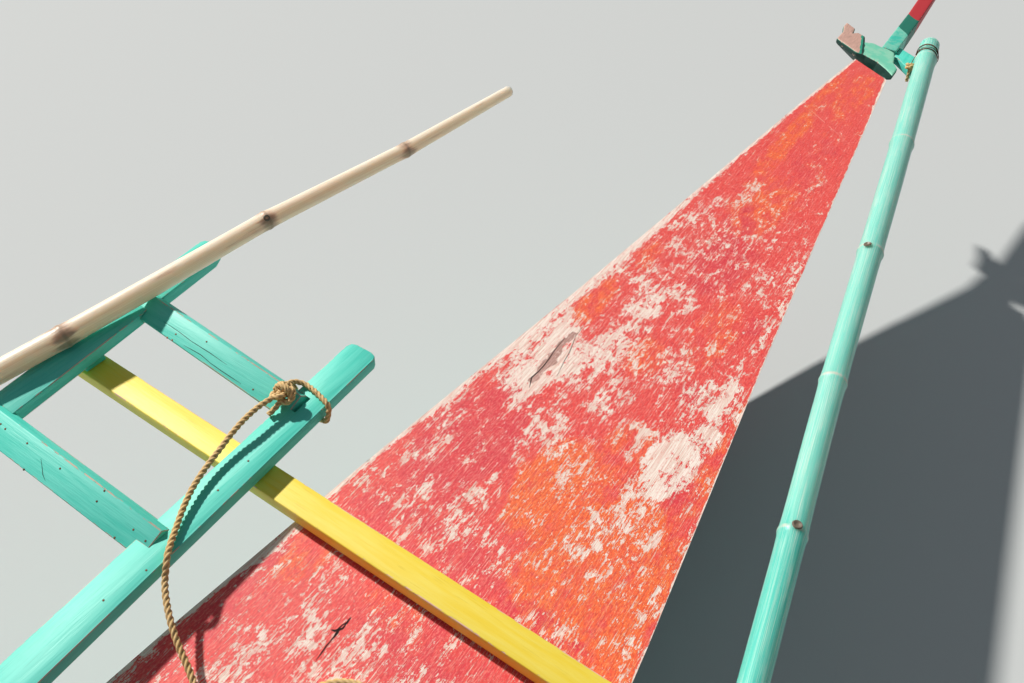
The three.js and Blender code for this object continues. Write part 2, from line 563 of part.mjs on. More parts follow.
// Rope: a hitch round the inner rail with its knot on the first tread, the slack line down to the
// deck, a coil lying there, and the line's end inside the coil.
const HITCH_X = 2797;
const hitchY = railEdge(RAILS.inner, HITCH_X);
const KNOT = new THREE.Vector3(2754, 547, DECK + 116);
const ringBlock = (half, side, over) => toSolid(block(
  [HITCH_X - half, hitchY - side, RAIL_FOOT - over],
  [HITCH_X + half, hitchY + RAILS.inner.width + side, RAIL_TOP + over]));
const knotBall = toSolid(new THREE.SphereGeometry(21, 12, 8).scale(1.12, 1.1, 0.95).translate(...KNOT.toArray()));
const knotNeck = toSolid(pole([[KNOT.x, KNOT.y, KNOT.z - 4, 8], [HITCH_X, KNOT.y + 6, RAIL_TOP + 8, 6.8]], 10));
const hitch = ringBlock(ROPE / 2, ROPE + 2, ROPE + 1)
  .subtract(ringBlock(ROPE, 2, GAP))
  .add(knotNeck)
  .add(knotBall)
  .subtract(treadSolid(TREADS[0], GAP))
  .subtract(ringBlock(60, GAP, GAP));
addPiece("rope_hitch", toGeometry(hitch.decompose().sort((a, b) => b.volume() - a.volume())[0]), COLORS.rope);

const ROPE_ON_DECK = DECK + ROPE / 2 + GAP;
// The slack line's route, from the knot to the coil.
const ropeRoute = [
  [2726, 556, DECK + 119], [2690, 560.5, DECK + 120.5], [2652, 560.5, DECK + 119.5], [2614, 558, DECK + 114.5],
  [2576, 552, DECK + 109], [2540, 545.5, DECK + 105.5], [2506, 537, DECK + 103.5], [2476, 527, DECK + 101.8],
  [2449, 515, DECK + 99.8], [2426, 503, DECK + 97.5], [2404, 490, DECK + 95.6], [2385, 478.5, DECK + 94.8],
  [2367, 467, DECK + 94.3], [2352.5, 456.8, DECK + 93.4], [2340.5, 447.8, DECK + 87.5], [2331, 442.2, DECK + 78],
  [2320, 434, DECK + 69.8], [2305, 417, DECK + 64.5], [2289, 394, DECK + 59.5], [2272, 366, DECK + 52],
  [2256, 334, DECK + 41], [2240.5, 296.5, DECK + 29], [2223.5, 257.5, DECK + 18], [2210.5, 207, DECK + 10.2],
  [2200, 152, ROPE_ON_DECK], [2191.5, 88, ROPE_ON_DECK], [2189, 16.5, ROPE_ON_DECK],
];
const ropeCurve = new THREE.CatmullRomCurve3(ropeRoute.map((point) => new THREE.Vector3(...point)));
const ropeShape = new THREE.Shape().absarc(0, 0, ROPE / 2, 0, 2 * Math.PI);
addPiece("rope", new THREE.ExtrudeGeometry(ropeShape, {
  steps: 56, curveSegments: 5, bevelEnabled: false, extrudePath: ropeCurve,
}), COLORS.rope);

const COIL = { x: 2297.5, y: 7.5, middle: 81, half: 20.3, tall: 27 };
const coilProfile = [
  [COIL.middle - COIL.half, 0], [COIL.middle + COIL.half, 0], [COIL.middle + COIL.half, COIL.tall],
  [COIL.middle - COIL.half, COIL.tall], [COIL.middle - COIL.half, 0],
].map(([x, y]) => new THREE.Vector2(x, y));
addPiece("rope_coil", new THREE.LatheGeometry(coilProfile, 28).rotateX(Math.PI / 2)
  .translate(COIL.x, COIL.y, DECK + GAP), COLORS.rope);
const endBall = toSolid(new THREE.SphereGeometry(15, 12, 8).translate(COIL.x, COIL.y, DECK + 15 + GAP));
const endTail = toSolid(pole([[COIL.x, COIL.y, DECK + 12, ROPE / 2],
  [COIL.x + COIL.middle - COIL.half - 1, COIL.y, DECK + 12, ROPE / 2]], 10));
addPiece("rope_end", toGeometry(endBall.add(endTail)), COLORS.rope);

export default boat;
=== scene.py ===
from math import copysign, cos, exp, pi, radians, sin, tau

import bmesh
import bpy
from mathutils import Matrix, Vector, noise
from mathutils.bvhtree import BVHTree


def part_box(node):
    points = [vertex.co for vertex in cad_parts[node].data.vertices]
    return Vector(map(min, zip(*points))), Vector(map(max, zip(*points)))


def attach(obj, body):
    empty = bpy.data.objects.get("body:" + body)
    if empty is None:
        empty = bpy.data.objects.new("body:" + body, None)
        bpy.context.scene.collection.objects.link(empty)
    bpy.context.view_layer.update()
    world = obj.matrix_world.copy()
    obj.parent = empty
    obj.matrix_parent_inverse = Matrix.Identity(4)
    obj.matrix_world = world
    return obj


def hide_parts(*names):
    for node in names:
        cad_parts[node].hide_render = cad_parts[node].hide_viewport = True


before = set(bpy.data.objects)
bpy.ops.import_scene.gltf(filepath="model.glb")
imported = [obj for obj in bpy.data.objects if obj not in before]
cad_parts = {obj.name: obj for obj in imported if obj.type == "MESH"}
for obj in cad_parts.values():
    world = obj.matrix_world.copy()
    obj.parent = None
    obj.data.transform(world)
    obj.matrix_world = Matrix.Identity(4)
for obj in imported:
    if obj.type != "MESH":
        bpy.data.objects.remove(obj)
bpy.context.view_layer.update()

# View: a hand-held camera 1.5 m above the foredeck, just to starboard of the boat's middle line, which
# looks forward and down over the port bow. Its lens is 29.5 mm on a 36 mm frame, and it is rolled 3 degrees.
scene = bpy.context.scene
deck_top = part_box("foredeck")[1].z
eye = Vector((2.0, -0.477, deck_top + 1.5))
heading, dip, roll = radians(31.34), radians(45.3), radians(3.2)
camera_data = bpy.data.cameras.new("camera")
camera_data.sensor_width = 36
camera_data.lens = 29.53
camera_data.clip_start = 0.05
camera_data.clip_end = 200
camera = bpy.data.objects.new("camera", camera_data)
scene.collection.objects.link(camera)
camera.matrix_world = (
    Matrix.Translation(eye)
    @ Matrix.Rotation(heading - pi / 2, 4, "Z")
    @ Matrix.Rotation(pi / 2 - dip, 4, "X")
    @ Matrix.Rotation(roll, 4, "Z")
)
scene.camera = camera
scene.view_settings.view_transform = "Standard"

# Light: one sun-sized lamp low over the port bow, a little forward, as the shadows on the ladder show,
# and an even pale dome that fills the shadows.
light_travel = Vector((-0.18, -1.25, -1.0))
lamp_data = bpy.data.lights.new("key", "SUN")
lamp_data.energy = 4.6
lamp_data.angle = radians(2.5)
lamp_data.color = (1.0, 0.965, 0.9)
lamp = bpy.data.objects.new("key", lamp_data)
scene.collection.objects.link(lamp)
lamp.rotation_mode = "QUATERNION"
lamp.rotation_quaternion = light_travel.to_track_quat("-Z", "Y")
dome = bpy.data.worlds.new("dome")
dome.use_nodes = True
dome.node_tree.nodes["Background"].inputs["Color"].default_value = (0.86, 0.93, 1.0, 1)
dome.node_tree.nodes["Background"].inputs["Strength"].default_value = 0.2
scene.world = dome

# Floor: a plain pale sheet that stands for the water's surface, so it lies at the waterline. The boat's
# bottom is below it, as it is when she floats.
floor_reach = 30.0


def start_material(name):
    """A new material: its shader and the piece's own coordinates."""
    material = bpy.data.materials.new(name)
    material.use_nodes = True
    nodes = material.node_tree.nodes
    return material, nodes["Principled BSDF"], nodes.new("ShaderNodeTexCoord").outputs["Object"]


def feed(shader, name, source):
    """Sets an input of the shader to a value, or wires another node's output to it."""
    wanted = shader.inputs[name]
    if isinstance(source, bpy.types.NodeSocket):
        shader.id_data.links.new(source, wanted)
    else:
        wanted.default_value = (*source, 1) if wanted.type == "RGBA" else source


def plain_material(name, colour, roughness):
    """A material of one colour."""
    material, shader, _ = start_material(name)
    feed(shader, "Base Color", colour)
    feed(shader, "Roughness", roughness)
    return material


def placed(made, name, material, sharp=35):
    """Makes a finished bmesh an object of the scene, with its finish and its sharp edges."""
    mesh = bpy.data.meshes.new(name)
    made.to_mesh(mesh)
    made.free()
    mesh.set_sharp_from_angle(angle=radians(sharp))
    mesh.materials.append(material)
    shape = bpy.data.objects.new(name, mesh)
    scene.collection.objects.link(shape)
    return shape


floor_finish = plain_material("pale_floor", (0.58, 0.60, 0.61), 0.9)
floor_made = bmesh.new()
bmesh.ops.create_grid(floor_made, x_segments=1, y_segments=1, size=floor_reach)
placed(floor_made, "floor", floor_finish)

# Rope: three-strand manila, 13.5 mm thick. It leaves the hitch on the ladder, lies along the inner rail and
# hangs down to a small coil on the foredeck, four turns with three on top of them, round its knotted end.
# The whole line is one swept tube whose section has three lobes that turn along it.
rope_thick = 0.0135
rope_lay = 0.038
rope_gap = 0.0003
rope_squeeze = 0.985
rope_rest = rope_thick / 2 + rope_gap


def over_deck(*rows):
    """Places whose heights are given above the foredeck."""
    return [(x, y, deck_top + up) for x, y, up in rows]


slack_route = over_deck(
    (2.726, 0.556, 0.119), (2.69, 0.5605, 0.1205), (2.652, 0.5605, 0.1195), (2.614, 0.558, 0.1145),
    (2.576, 0.552, 0.109), (2.54, 0.5455, 0.1055), (2.506, 0.537, 0.1035), (2.476, 0.527, 0.1018),
    (2.449, 0.515, 0.0998), (2.426, 0.503, 0.0975), (2.404, 0.49, 0.0956), (2.385, 0.4785, 0.0948),
    (2.367, 0.467, 0.0943), (2.3525, 0.4568, 0.0934), (2.3405, 0.4478, 0.0875), (2.331, 0.4422, 0.078),
    (2.32, 0.434, 0.0698), (2.305, 0.417, 0.0645), (2.289, 0.394, 0.0595), (2.272, 0.366, 0.052),
    (2.256, 0.334, 0.041), (2.2405, 0.2965, 0.029), (2.2235, 0.2575, 0.018), (2.2105, 0.207, 0.0102),
    (2.2, 0.152, rope_rest), (2.1915, 0.088, rope_rest), (2.189, 0.0165, rope_rest))
coil_middle = Vector((2.2975, 0.0075, deck_top))
# Each turn's radius and layer, in the order in which the line is laid down.
coil_turns = [(0.1085, 0), (0.0950, 0), (0.0950, 1), (0.0813, 1), (0.0813, 0), (0.0676, 0), (0.0676, 1)]
coil_step_angle = radians(44)
coil_turn_steps, coil_end_steps = 40, 14


def eased(part):
    """A smooth rise from 0 to 1."""
    part = min(max(part, 0), 1)
    return part * part * (3 - 2 * part)


def coil_route():
    """The coil's centreline: each turn keeps its place, and later turns change place before earlier ones."""
    start = pi - 0.04
    changes = [start + number * (tau - coil_step_angle) for number in range(len(coil_turns) - 1)]
    end = changes[-1] + tau * 0.93
    steps = int((end - start) / tau * coil_turn_steps)
    route = []
    for step in range(1, steps + 1):
        angle = start + (end - start) * step / steps
        radius, layer = coil_turns[0]
        for change, (before, after) in zip(changes, zip(coil_turns, coil_turns[1:])):
            part = eased((angle - change) / coil_step_angle)
            radius += (after[0] - before[0]) * part
            layer += (after[1] - before[1]) * part
        height = rope_rest + layer * (rope_thick + rope_gap)
        route.append(coil_middle + Vector((radius * cos(angle), radius * sin(angle), height)))
    # The end curls in to the middle on a half circle and comes down to the deck.
    half = coil_turns[-1][0] / 2
    heart = coil_middle + Vector((half * cos(end), half * sin(end), 0))
    for step in range(1, coil_end_steps + 1):
        angle = end + pi * step / coil_end_steps * 0.86
        fall = (height - rope_rest) * eased((step - 3) / 9)
        route.append(heart + Vector((half * cos(angle), half * sin(angle), height - fall)))
    return route


def through(points, spacing):
    """A smooth curve through points, as evenly spaced points."""
    points = [Vector(point) for point in points]
    fine = []
    for number in range(len(points) - 1):
        before = points[max(number - 1, 0)]
        first, second = points[number], points[number + 1]
        after = points[min(number + 2, len(points) - 1)]
        leave, arrive = (second - before) / 2, (after - first) / 2
        for part in [step / 12 for step in range(12)]:
            fine.append(
                first * (1 - 3 * part**2 + 2 * part**3) + leave * (part - 2 * part**2 + part**3)
                + second * (3 * part**2 - 2 * part**3) + arrive * (part**3 - part**2))
    fine.append(points[-1])
    reached = [0.0]
    for first, second in zip(fine, fine[1:]):
        reached.append(reached[-1] + (second - first).length)
    count = max(round(reached[-1] / spacing), 2)
    even, at = [], 0
    for step in range(count + 1):
        wanted = reached[-1] * step / count
        while at < len(fine) - 2 and reached[at + 1] < wanted:
            at += 1
        span = max(reached[at + 1] - reached[at], 1e-9)
        even.append(fine[at].lerp(fine[at + 1], min((wanted - reached[at]) / span, 1)))
    return even


def tube(route, sides, reach):
    """A closed tube along a route: a grid rolled round it. reach gives the radius at an angle and a
    distance. The value lie keeps each point's direction round the tube and its distance along it."""
    made = bmesh.new()
    bmesh.ops.create_grid(made, x_segments=len(route) - 1, y_segments=sides, size=1)
    lie = made.verts.layers.float_vector.new("lie")
    neighbours = zip(route[:1] + route, route[1:] + route[-1:])
    ahead = [(after - before).normalized() for before, after in neighbours]
    side = ahead[0].cross(Vector((0, 0, 1))).normalized()
    sides_along, along = [], [0.0]
    for number, direction in enumerate(ahead):
        side = (side - direction * side.dot(direction)).normalized()
        sides_along.append(side)
        if number:
            along.append(along[-1] + (route[number] - route[number - 1]).length)
    for vertex in made.verts:
        step = round((vertex.co.x + 1) / 2 * (len(route) - 1))
        angle = (vertex.co.y + 1) * pi
        across = sides_along[step]
        over = ahead[step].cross(across)
        radius = reach(angle, along[step])
        vertex[lie] = Vector((cos(angle), sin(angle), along[step]))
        vertex.co = route[step] + (across * cos(angle) + over * sin(angle)) * radius
    bmesh.ops.remove_doubles(made, verts=made.verts, dist=1e-7)
    bmesh.ops.holes_fill(made, edges=[edge for edge in made.edges if edge.is_boundary])
    bmesh.ops.recalc_face_normals(made, faces=made.faces)
    return made


def strands(angle, distance):
    """The radius of three round strands laid together, which turn along the line."""
    turned = (angle - tau * distance / rope_lay) % (tau / 3) - tau / 6
    heart = rope_thick / 4
    reach = heart * cos(turned) + (heart**2 - (heart * sin(turned)) ** 2) ** 0.5
    return reach * rope_squeeze


def add(kind, wires, **settings):
    """One shader node with its settings and its inputs, each a value or another node's output."""
    tree = next(source.id_data for source in wires.values() if isinstance(source, bpy.types.NodeSocket))
    made = tree.nodes.new("ShaderNode" + kind)
    for name, value in settings.items():
        setattr(made, name, value)
    for name, source in wires.items():
        if isinstance(source, bpy.types.NodeSocket):
            tree.links.new(source, made.inputs[name])
        else:
            made.inputs[name].default_value = source
    return made


def mark(shader, name, kind="Fac"):
    """A value that the piece's points carry."""
    made = shader.id_data.nodes.new("ShaderNodeAttribute")
    made.attribute_name = name
    return made.outputs[kind]


def figure(operation, first, second=0.0, third=0.0):
    """A number worked out from one, two or three others."""
    return add("Math", {0: first, 1: second, 2: third}, operation=operation).outputs[0]


def times(first, second):
    """The product of two numbers."""
    return figure("MULTIPLY", first, second)


def rise(value, low, high, top=1.0):
    """0 below low and top above high, with a soft step between."""
    wires = {"Value": value, "From Min": low, "From Max": high, "To Max": top}
    return add("MapRange", wires, interpolation_type="SMOOTHSTEP").outputs[0]


def mixed(factor, first, second):
    """One colour laid over another."""
    first, second = [
        colour if isinstance(colour, bpy.types.NodeSocket) else (*colour, 1) for colour in (first, second)]
    return add("Mix", {0: factor, 6: first, 7: second}, data_type="RGBA").outputs[2]


def layered(colour, *layers):
    """A colour under others, each with the value that it follows, where that starts and ends, and how much
    of it shows at most."""
    for value, low, high, most, laid in layers:
        colour = mixed(rise(value, low, high, most), colour, laid)
    return colour


def speckle(coordinates, scale, detail=4.0, roughness=0.55, place=(0, 0, 0)):
    """Noise stretched by a scale for each axis."""
    laid = add("Mapping", {"Vector": coordinates, "Scale": scale, "Location": place}).outputs[0]
    wires = {"Vector": laid, "Scale": 1.0, "Detail": detail, "Roughness": roughness}
    return add("TexNoise", wires).outputs[0]


def wire_up(shader, colour, rough, height, strength, depth):
    """Gives the shader its colour, its roughness and a height as bump."""
    feed(shader, "Base Color", colour)
    feed(shader, "Roughness", rough)
    wires = {"Height": height, "Strength": strength, "Distance": depth}
    feed(shader, "Normal", add("Bump", wires).outputs[0])


def manila():
    """Pale straw fibres that run nearly along the line, with painted shade down between the strands."""
    material, shader, _ = start_material("manila")
    lie = mark(shader, "lie", "Vector")
    fibre = speckle(lie, (9, 9, 55), 5, 0.7)
    patch = speckle(lie, (0.7, 0.7, 12), 3, 0.6, (4, 2, 0))
    straw = layered(
        (0.60, 0.36, 0.13),
        (fibre, 0.30, 0.62, 1.0, (0.90, 0.66, 0.34)),
        (patch, 0.45, 0.7, 0.5, (0.84, 0.52, 0.15)))
    # Painted shade: the straw is darkened by how deep each point lies in the groove between two strands.
    straw = mixed(times(mark(shader, "groove"), 0.7), straw, (0.30, 0.145, 0.04))
    wire_up(shader, straw, 0.86, fibre, 0.6, 0.0012)
    return material


def fit(made, name, material, slot, *nodes, body="hull", sharp=35):
    """Makes a finished bmesh a piece of the boat, with its finish, its body and what it stands for."""
    piece = placed(made, name, material, sharp)
    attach(piece, body)
    if nodes:
        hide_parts(*nodes)
    return piece


def lay_rope(route, spacing=0.0024, sides=18):
    """A stretch of the three-strand rope along a route, with its grooves marked for the painted shade in
    them.
    """
    line = through(route, spacing)
    made = tube(line, sides, strands)
    groove = made.verts.layers.float.new("groove")
    lie = made.verts.layers.float_vector["lie"]
    for vertex in made.verts:
        around, over, distance = vertex[lie]
        angle = Vector((around, over)).angle_signed(Vector((1, 0)), 0)
        depth = 1 - strands(angle, distance) / (rope_thick / 2)
        vertex[groove] = min(depth * 2.0, 1)
    return made, line


manila_finish = manila()
rope_made, rope_line = lay_rope(slack_route + coil_route())
rope_piece = fit(rope_made, "rope_line", manila_finish, "rope", "rope", "rope_coil", sharp=180)

# The line's far end: a knot tied in the same rope, in the middle of the coil, drawn up round like a ball.


def knotted(middle, ring, wind, turn=0.0):
    """A knot's closed route, which winds three times round a ring while it goes twice round it."""
    route = []
    for angle in [tau * step / 72 for step in range(73)]:
        out, around = ring + wind * cos(3 * angle), 2 * angle + turn
        route.append(Vector(middle) + Vector((out * cos(around), out * sin(around), wind * sin(3 * angle))))
    return route


end_knot_made, _ = lay_rope(knotted(rope_line[-1] + Vector((0, 0, 0.006)), 0.0115, 0.0062), 0.0018)
end_knot = fit(end_knot_made, "rope_end_knot", manila_finish, "rope", "rope_end", sharp=180)

# Hull: planked sides nailed to a hewn keel log, with solid blocks at the stem and the stern. The planks run
# fore and aft in narrow strakes whose seams show under thick teal house paint, renewed over old coats.
hull_strakes = 7


def cad_copy(node, flat=False):
    """A CAD piece as a bmesh with its loose triangles joined, and its flat faces whole if asked."""
    made = bmesh.new()
    made.from_mesh(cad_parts[node].data)
    bmesh.ops.remove_doubles(made, verts=made.verts, dist=3e-6)
    if flat:
        bmesh.ops.dissolve_limit(made, angle_limit=radians(0.6), verts=made.verts, edges=made.edges)
    return made


def eased_arrises(made, width, steps=2, over=30):
    """Rounds a board's arrises, and marks the rounded faces so that paint can be worn off them."""
    arris = made.loops.layers.float.new("arris")
    edges = [
        edge for edge in made.edges if len(edge.link_faces) == 2 and edge.calc_face_angle(0) > radians(over)]
    done = bmesh.ops.bevel(
        made, geom=edges, offset=width, segments=steps, profile=0.5, affect="EDGES", material=-1,
        clamp_overlap=True)
    for face in done["faces"]:
        for loop in face.loops:
            loop[arris] = 1
    return made


def grained(along, across_scale, along_scale):
    """A noise scale for wood whose grain runs along one axis."""
    return [across_scale + (along_scale - across_scale) * part for part in along]


def scaled(value, factor, base):
    """A number times a factor, plus a base."""
    return figure("MULTIPLY_ADD", value, factor, base)


def less(first, second):
    """One number less another."""
    return figure("SUBTRACT", first, second)


def beyond(value, limit, soft):
    """1 where a value is over its limit, with a soft start."""
    return rise(less(value, limit), 0.0, soft)


def darker(colour, part):
    """A colour at a part of its strength."""
    return [value * part for value in colour]


def painted_wood(name, paint, faded, under, along, wear=0.1, streak=0.5, seams=False):
    """House paint brushed on a board: streaks along it, flakes through to what is under, worn arrises."""
    material, shader, place = start_material(name)
    brush = speckle(place, grained(along, 90, 6), 4, 0.6)
    blotch = speckle(place, grained(along, 4.2, 2.2), 5, 0.62, (3, 1, 7))
    chip = speckle(place, grained(along, 170, 40), 7, 0.7, (1, 5, 2))
    grain = speckle(place, grained(along, 420, 15), 3, 0.6)
    coat = layered(
        mixed(times(rise(brush, 0.3, 0.72), streak), paint, faded),
        (blotch, 0.35, 0.7, 0.45, faded), (grain, 0.58, 0.72, 0.35, darker(paint, 0.62)))
    worn = times(mark(shader, "arris"), scaled(rise(blotch, 0.4, 0.6), 0.22, 0.13))
    lost = beyond(chip, less(0.76, scaled(rise(blotch, 0.42, 0.72), wear, worn)), 0.035)
    bare = mixed(rise(grain, 0.35, 0.7), under, darker(under, 0.72))
    rough = add("MapRange", {"Value": brush, "To Min": 0.42, "To Max": 0.62}).outputs[0]
    height = scaled(lost, -0.6, scaled(grain, 0.35, brush))
    if seams:
        place_in = figure("ABSOLUTE", less(figure("FRACT", mark(shader, "strake")), 0.5))
        height = scaled(rise(place_in, 0.462, 0.49), -2.2, height)
    wire_up(shader, mixed(lost, coat, bare), scaled(lost, 0.3, rough), height, 0.55, 0.0016)
    return material


def dress(node, ending, material, slot, width, *rounding, body="hull"):
    """Rounds a CAD piece's arrises and puts it, with its finish, in the piece's place."""
    made = eased_arrises(cad_copy(node, flat=True), width, *rounding)
    fit(made, node + ending, material, slot, node, body=body)


old_wood = (0.60, 0.47, 0.36)
greens = (0.02, 0.27, 0.23), (0.06, 0.40, 0.34), old_wood
hull_paint = painted_wood("hull_paint", *greens, (1, 0, 0), 0.12, seams=True)
for side in ("port", "starboard"):
    made = cad_copy("side_" + side)
    strake = made.verts.layers.float.new("strake")
    lowest = {}
    for vertex in made.verts:
        station = round(vertex.co.x, 3)
        lowest[station] = min(lowest.get(station, 1), vertex.co.z)
    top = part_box("side_" + side)[1].z
    for vertex in made.verts:
        foot = lowest[round(vertex.co.x, 3)]
        vertex[strake] = hull_strakes * (top - vertex.co.z) / max(top - foot, 0.05)
    fit(made, "planking_" + side, hull_paint, "hull_paint", "side_" + side)

block_paint = painted_wood("block_paint", *greens, (1, 0, 0), 0.16)
for node in ("stem_block", "stern_block", "bulkhead_front", "bulkhead_aft"):
    dress(node, "_painted", block_paint, "hull_paint", 0.003)

keel_paint = painted_wood(
    "keel_paint", (0.16, 0.022, 0.018), (0.26, 0.05, 0.04), old_wood, (1, 0, 0), 0.1)
fit(cad_copy("keel_log"), "keel_log_hewn", keel_paint, "keel_paint", "keel_log")

# Decks: long plywood sheets on the planking, brushed red over older orange coats and walked on for years.
# The paint has flaked off along the grain, most of all in the places that the table below names, and the
# sheet's top veneer has lifted in one long chip on the port side.


def strongest(spots, x, y):
    """A coat's strength at a place, by ovals: middle, half length, half width and strength of each."""
    total = 0.0
    for middle_x, middle_y, half_long, half_wide, strength in spots:
        away = ((x - middle_x) / half_long) ** 2 + ((y - middle_y) / half_wide) ** 2
        total = max(total, strength * eased(1.45 - away))
    return total


bare_spots = (
    (3.27, 0.205, 0.17, 0.085, 1.0), (3.33, 0.105, 0.17, 0.055, 0.86), (3.50, 0.075, 0.22, 0.055, 0.8),
    (3.73, 0.095, 0.22, 0.055, 0.6), (4.02, 0.135, 0.20, 0.04, 0.55), (3.62, 0.155, 0.20, 0.02, 0.5),
    (3.15, -0.205, 0.13, 0.055, 1.0), (3.34, -0.235, 0.15, 0.035, 0.85), (3.165, -0.108, 0.055, 0.02, 1.0),
    (3.38, -0.175, 0.10, 0.03, 0.7), (3.87, -0.135, 0.11, 0.035, 0.66), (3.98, -0.20, 0.12, 0.02, 0.7),
    (3.70, -0.225, 0.16, 0.02, 0.62), (4.24, 0.055, 0.10, 0.03, 0.6), (3.43, -0.01, 0.10, 0.02, 0.55),
    (2.42, 0.10, 0.10, 0.16, 0.62), (2.30, 0.25, 0.12, 0.08, 0.62), (2.46, 0.0, 0.05, 0.10, 0.6),
    (2.88, -0.255, 0.14, 0.035, 0.62), (2.90, -0.19, 0.12, 0.04, 0.56), (2.985, -0.22, 0.04, 0.06, 0.6),
    (2.765, 0.06, 0.030, 0.10, 0.66), (2.80, 0.21, 0.06, 0.03, 0.5), (2.88, 0.105, 0.10, 0.02, 0.45),
    (3.10, 0.10, 0.10, 0.035, 0.66), (3.06, 0.03, 0.09, 0.04, 0.5), (2.92, 0.275, 0.16, 0.04, 0.5),
    (2.96, -0.155, 0.07, 0.05, 0.6), (2.83, -0.16, 0.10, 0.04, 0.58), (3.06, -0.155, 0.05, 0.03, 0.6),
    (4.86, 0.06, 0.06, 0.02, 0.5), (3.32, 0.00, 0.18, 0.05, 0.62), (3.47, -0.08, 0.14, 0.05, 0.62),
    (3.60, 0.01, 0.16, 0.05, 0.62), (2.60, 0.05, 0.07, 0.10, 0.5), (2.33, -0.10, 0.12, 0.10, 0.5),
    (1.50, 0.10, 0.30, 0.20, 0.5), (1.15, -0.22, 0.20, 0.10, 0.55), (0.80, 0.0, 0.16, 0.30, 0.55),
    (-3.1, 0.10, 0.30, 0.16, 0.55), (-3.9, -0.08, 0.35, 0.12, 0.5), (-4.6, 0.05, 0.25, 0.10, 0.5),
)
orange_spots = (
    (2.83, -0.20, 0.24, 0.16, 0.9), (2.95, -0.01, 0.15, 0.075, 0.95), (3.08, -0.13, 0.14, 0.10, 0.6),
    (3.42, 0.0, 0.09, 0.05, 0.7), (3.60, -0.11, 0.16, 0.06, 0.5), (3.52, 0.20, 0.12, 0.035, 0.75),
    (4.20, 0.0, 0.18, 0.09, 0.55), (3.78, 0.17, 0.08, 0.03, 0.6), (4.70, 0.07, 0.50, 0.035, 0.6),
    (5.05, -0.02, 0.22, 0.06, 0.45), (2.53, 0.30, 0.08, 0.05, 0.6), (2.68, -0.31, 0.10, 0.05, 0.9),
    (2.53, 0.08, 0.05, 0.08, 0.4), (3.26, -0.29, 0.30, 0.03, 0.6), (1.6, -0.2, 0.5, 0.2, 0.5),
    (-3.6, 0.1, 0.5, 0.15, 0.5),
)
crimson_spots = (
    (2.95, 0.20, 0.22, 0.12, 0.75), (2.68, 0.13, 0.08, 0.22, 0.6), (3.88, -0.01, 0.18, 0.08, 0.75),
    (2.67, -0.17, 0.035, 0.10, 0.85), (3.37, -0.145, 0.05, 0.035, 0.7), (3.68, -0.185, 0.05, 0.025, 0.7),
    # The oval at x 2.35, y 0.36 by the port edge is painted shade: its darker crimson lies where the inner
    # rail's shadow falls.
    (4.50, -0.05, 0.25, 0.06, 0.4), (3.10, -0.26, 0.05, 0.04, 0.55), (2.35, 0.36, 0.2, 0.05, 0.6),
    (2.50, -0.02, 0.09, 0.14, 0.5), (4.05, 0.02, 0.12, 0.06, 0.5), (1.2, 0.25, 0.4, 0.12, 0.6),
    (-4.3, -0.1, 0.4, 0.08, 0.5),
)
veneer_chip = (3.284, 0.183, 0.105, 0.011)
deck_net = 0.022


def shards(coordinates, scale):
    """A random value for each of a net of ragged cells, whose number per metre is given for each axis."""
    ragged = add("TexNoise", {"Vector": coordinates, "Scale": 110.0, "Detail": 4.0}).outputs["Color"]
    wires = {0: ragged, 1: (0.014, 0.009, 0.009), 2: coordinates}
    moved = add("VectorMath", wires, operation="MULTIPLY_ADD").outputs[0]
    laid = add("Mapping", {"Vector": moved, "Scale": scale}).outputs[0]
    cells = add("TexVoronoi", {"Vector": laid, "Scale": 1.0}).outputs["Color"]
    return add("SeparateXYZ", {0: cells}).outputs[0]


def swing(value, size, base):
    """A noise value's distance from its middle, times a size, plus a base."""
    return scaled(less(value, 0.5), size, base)


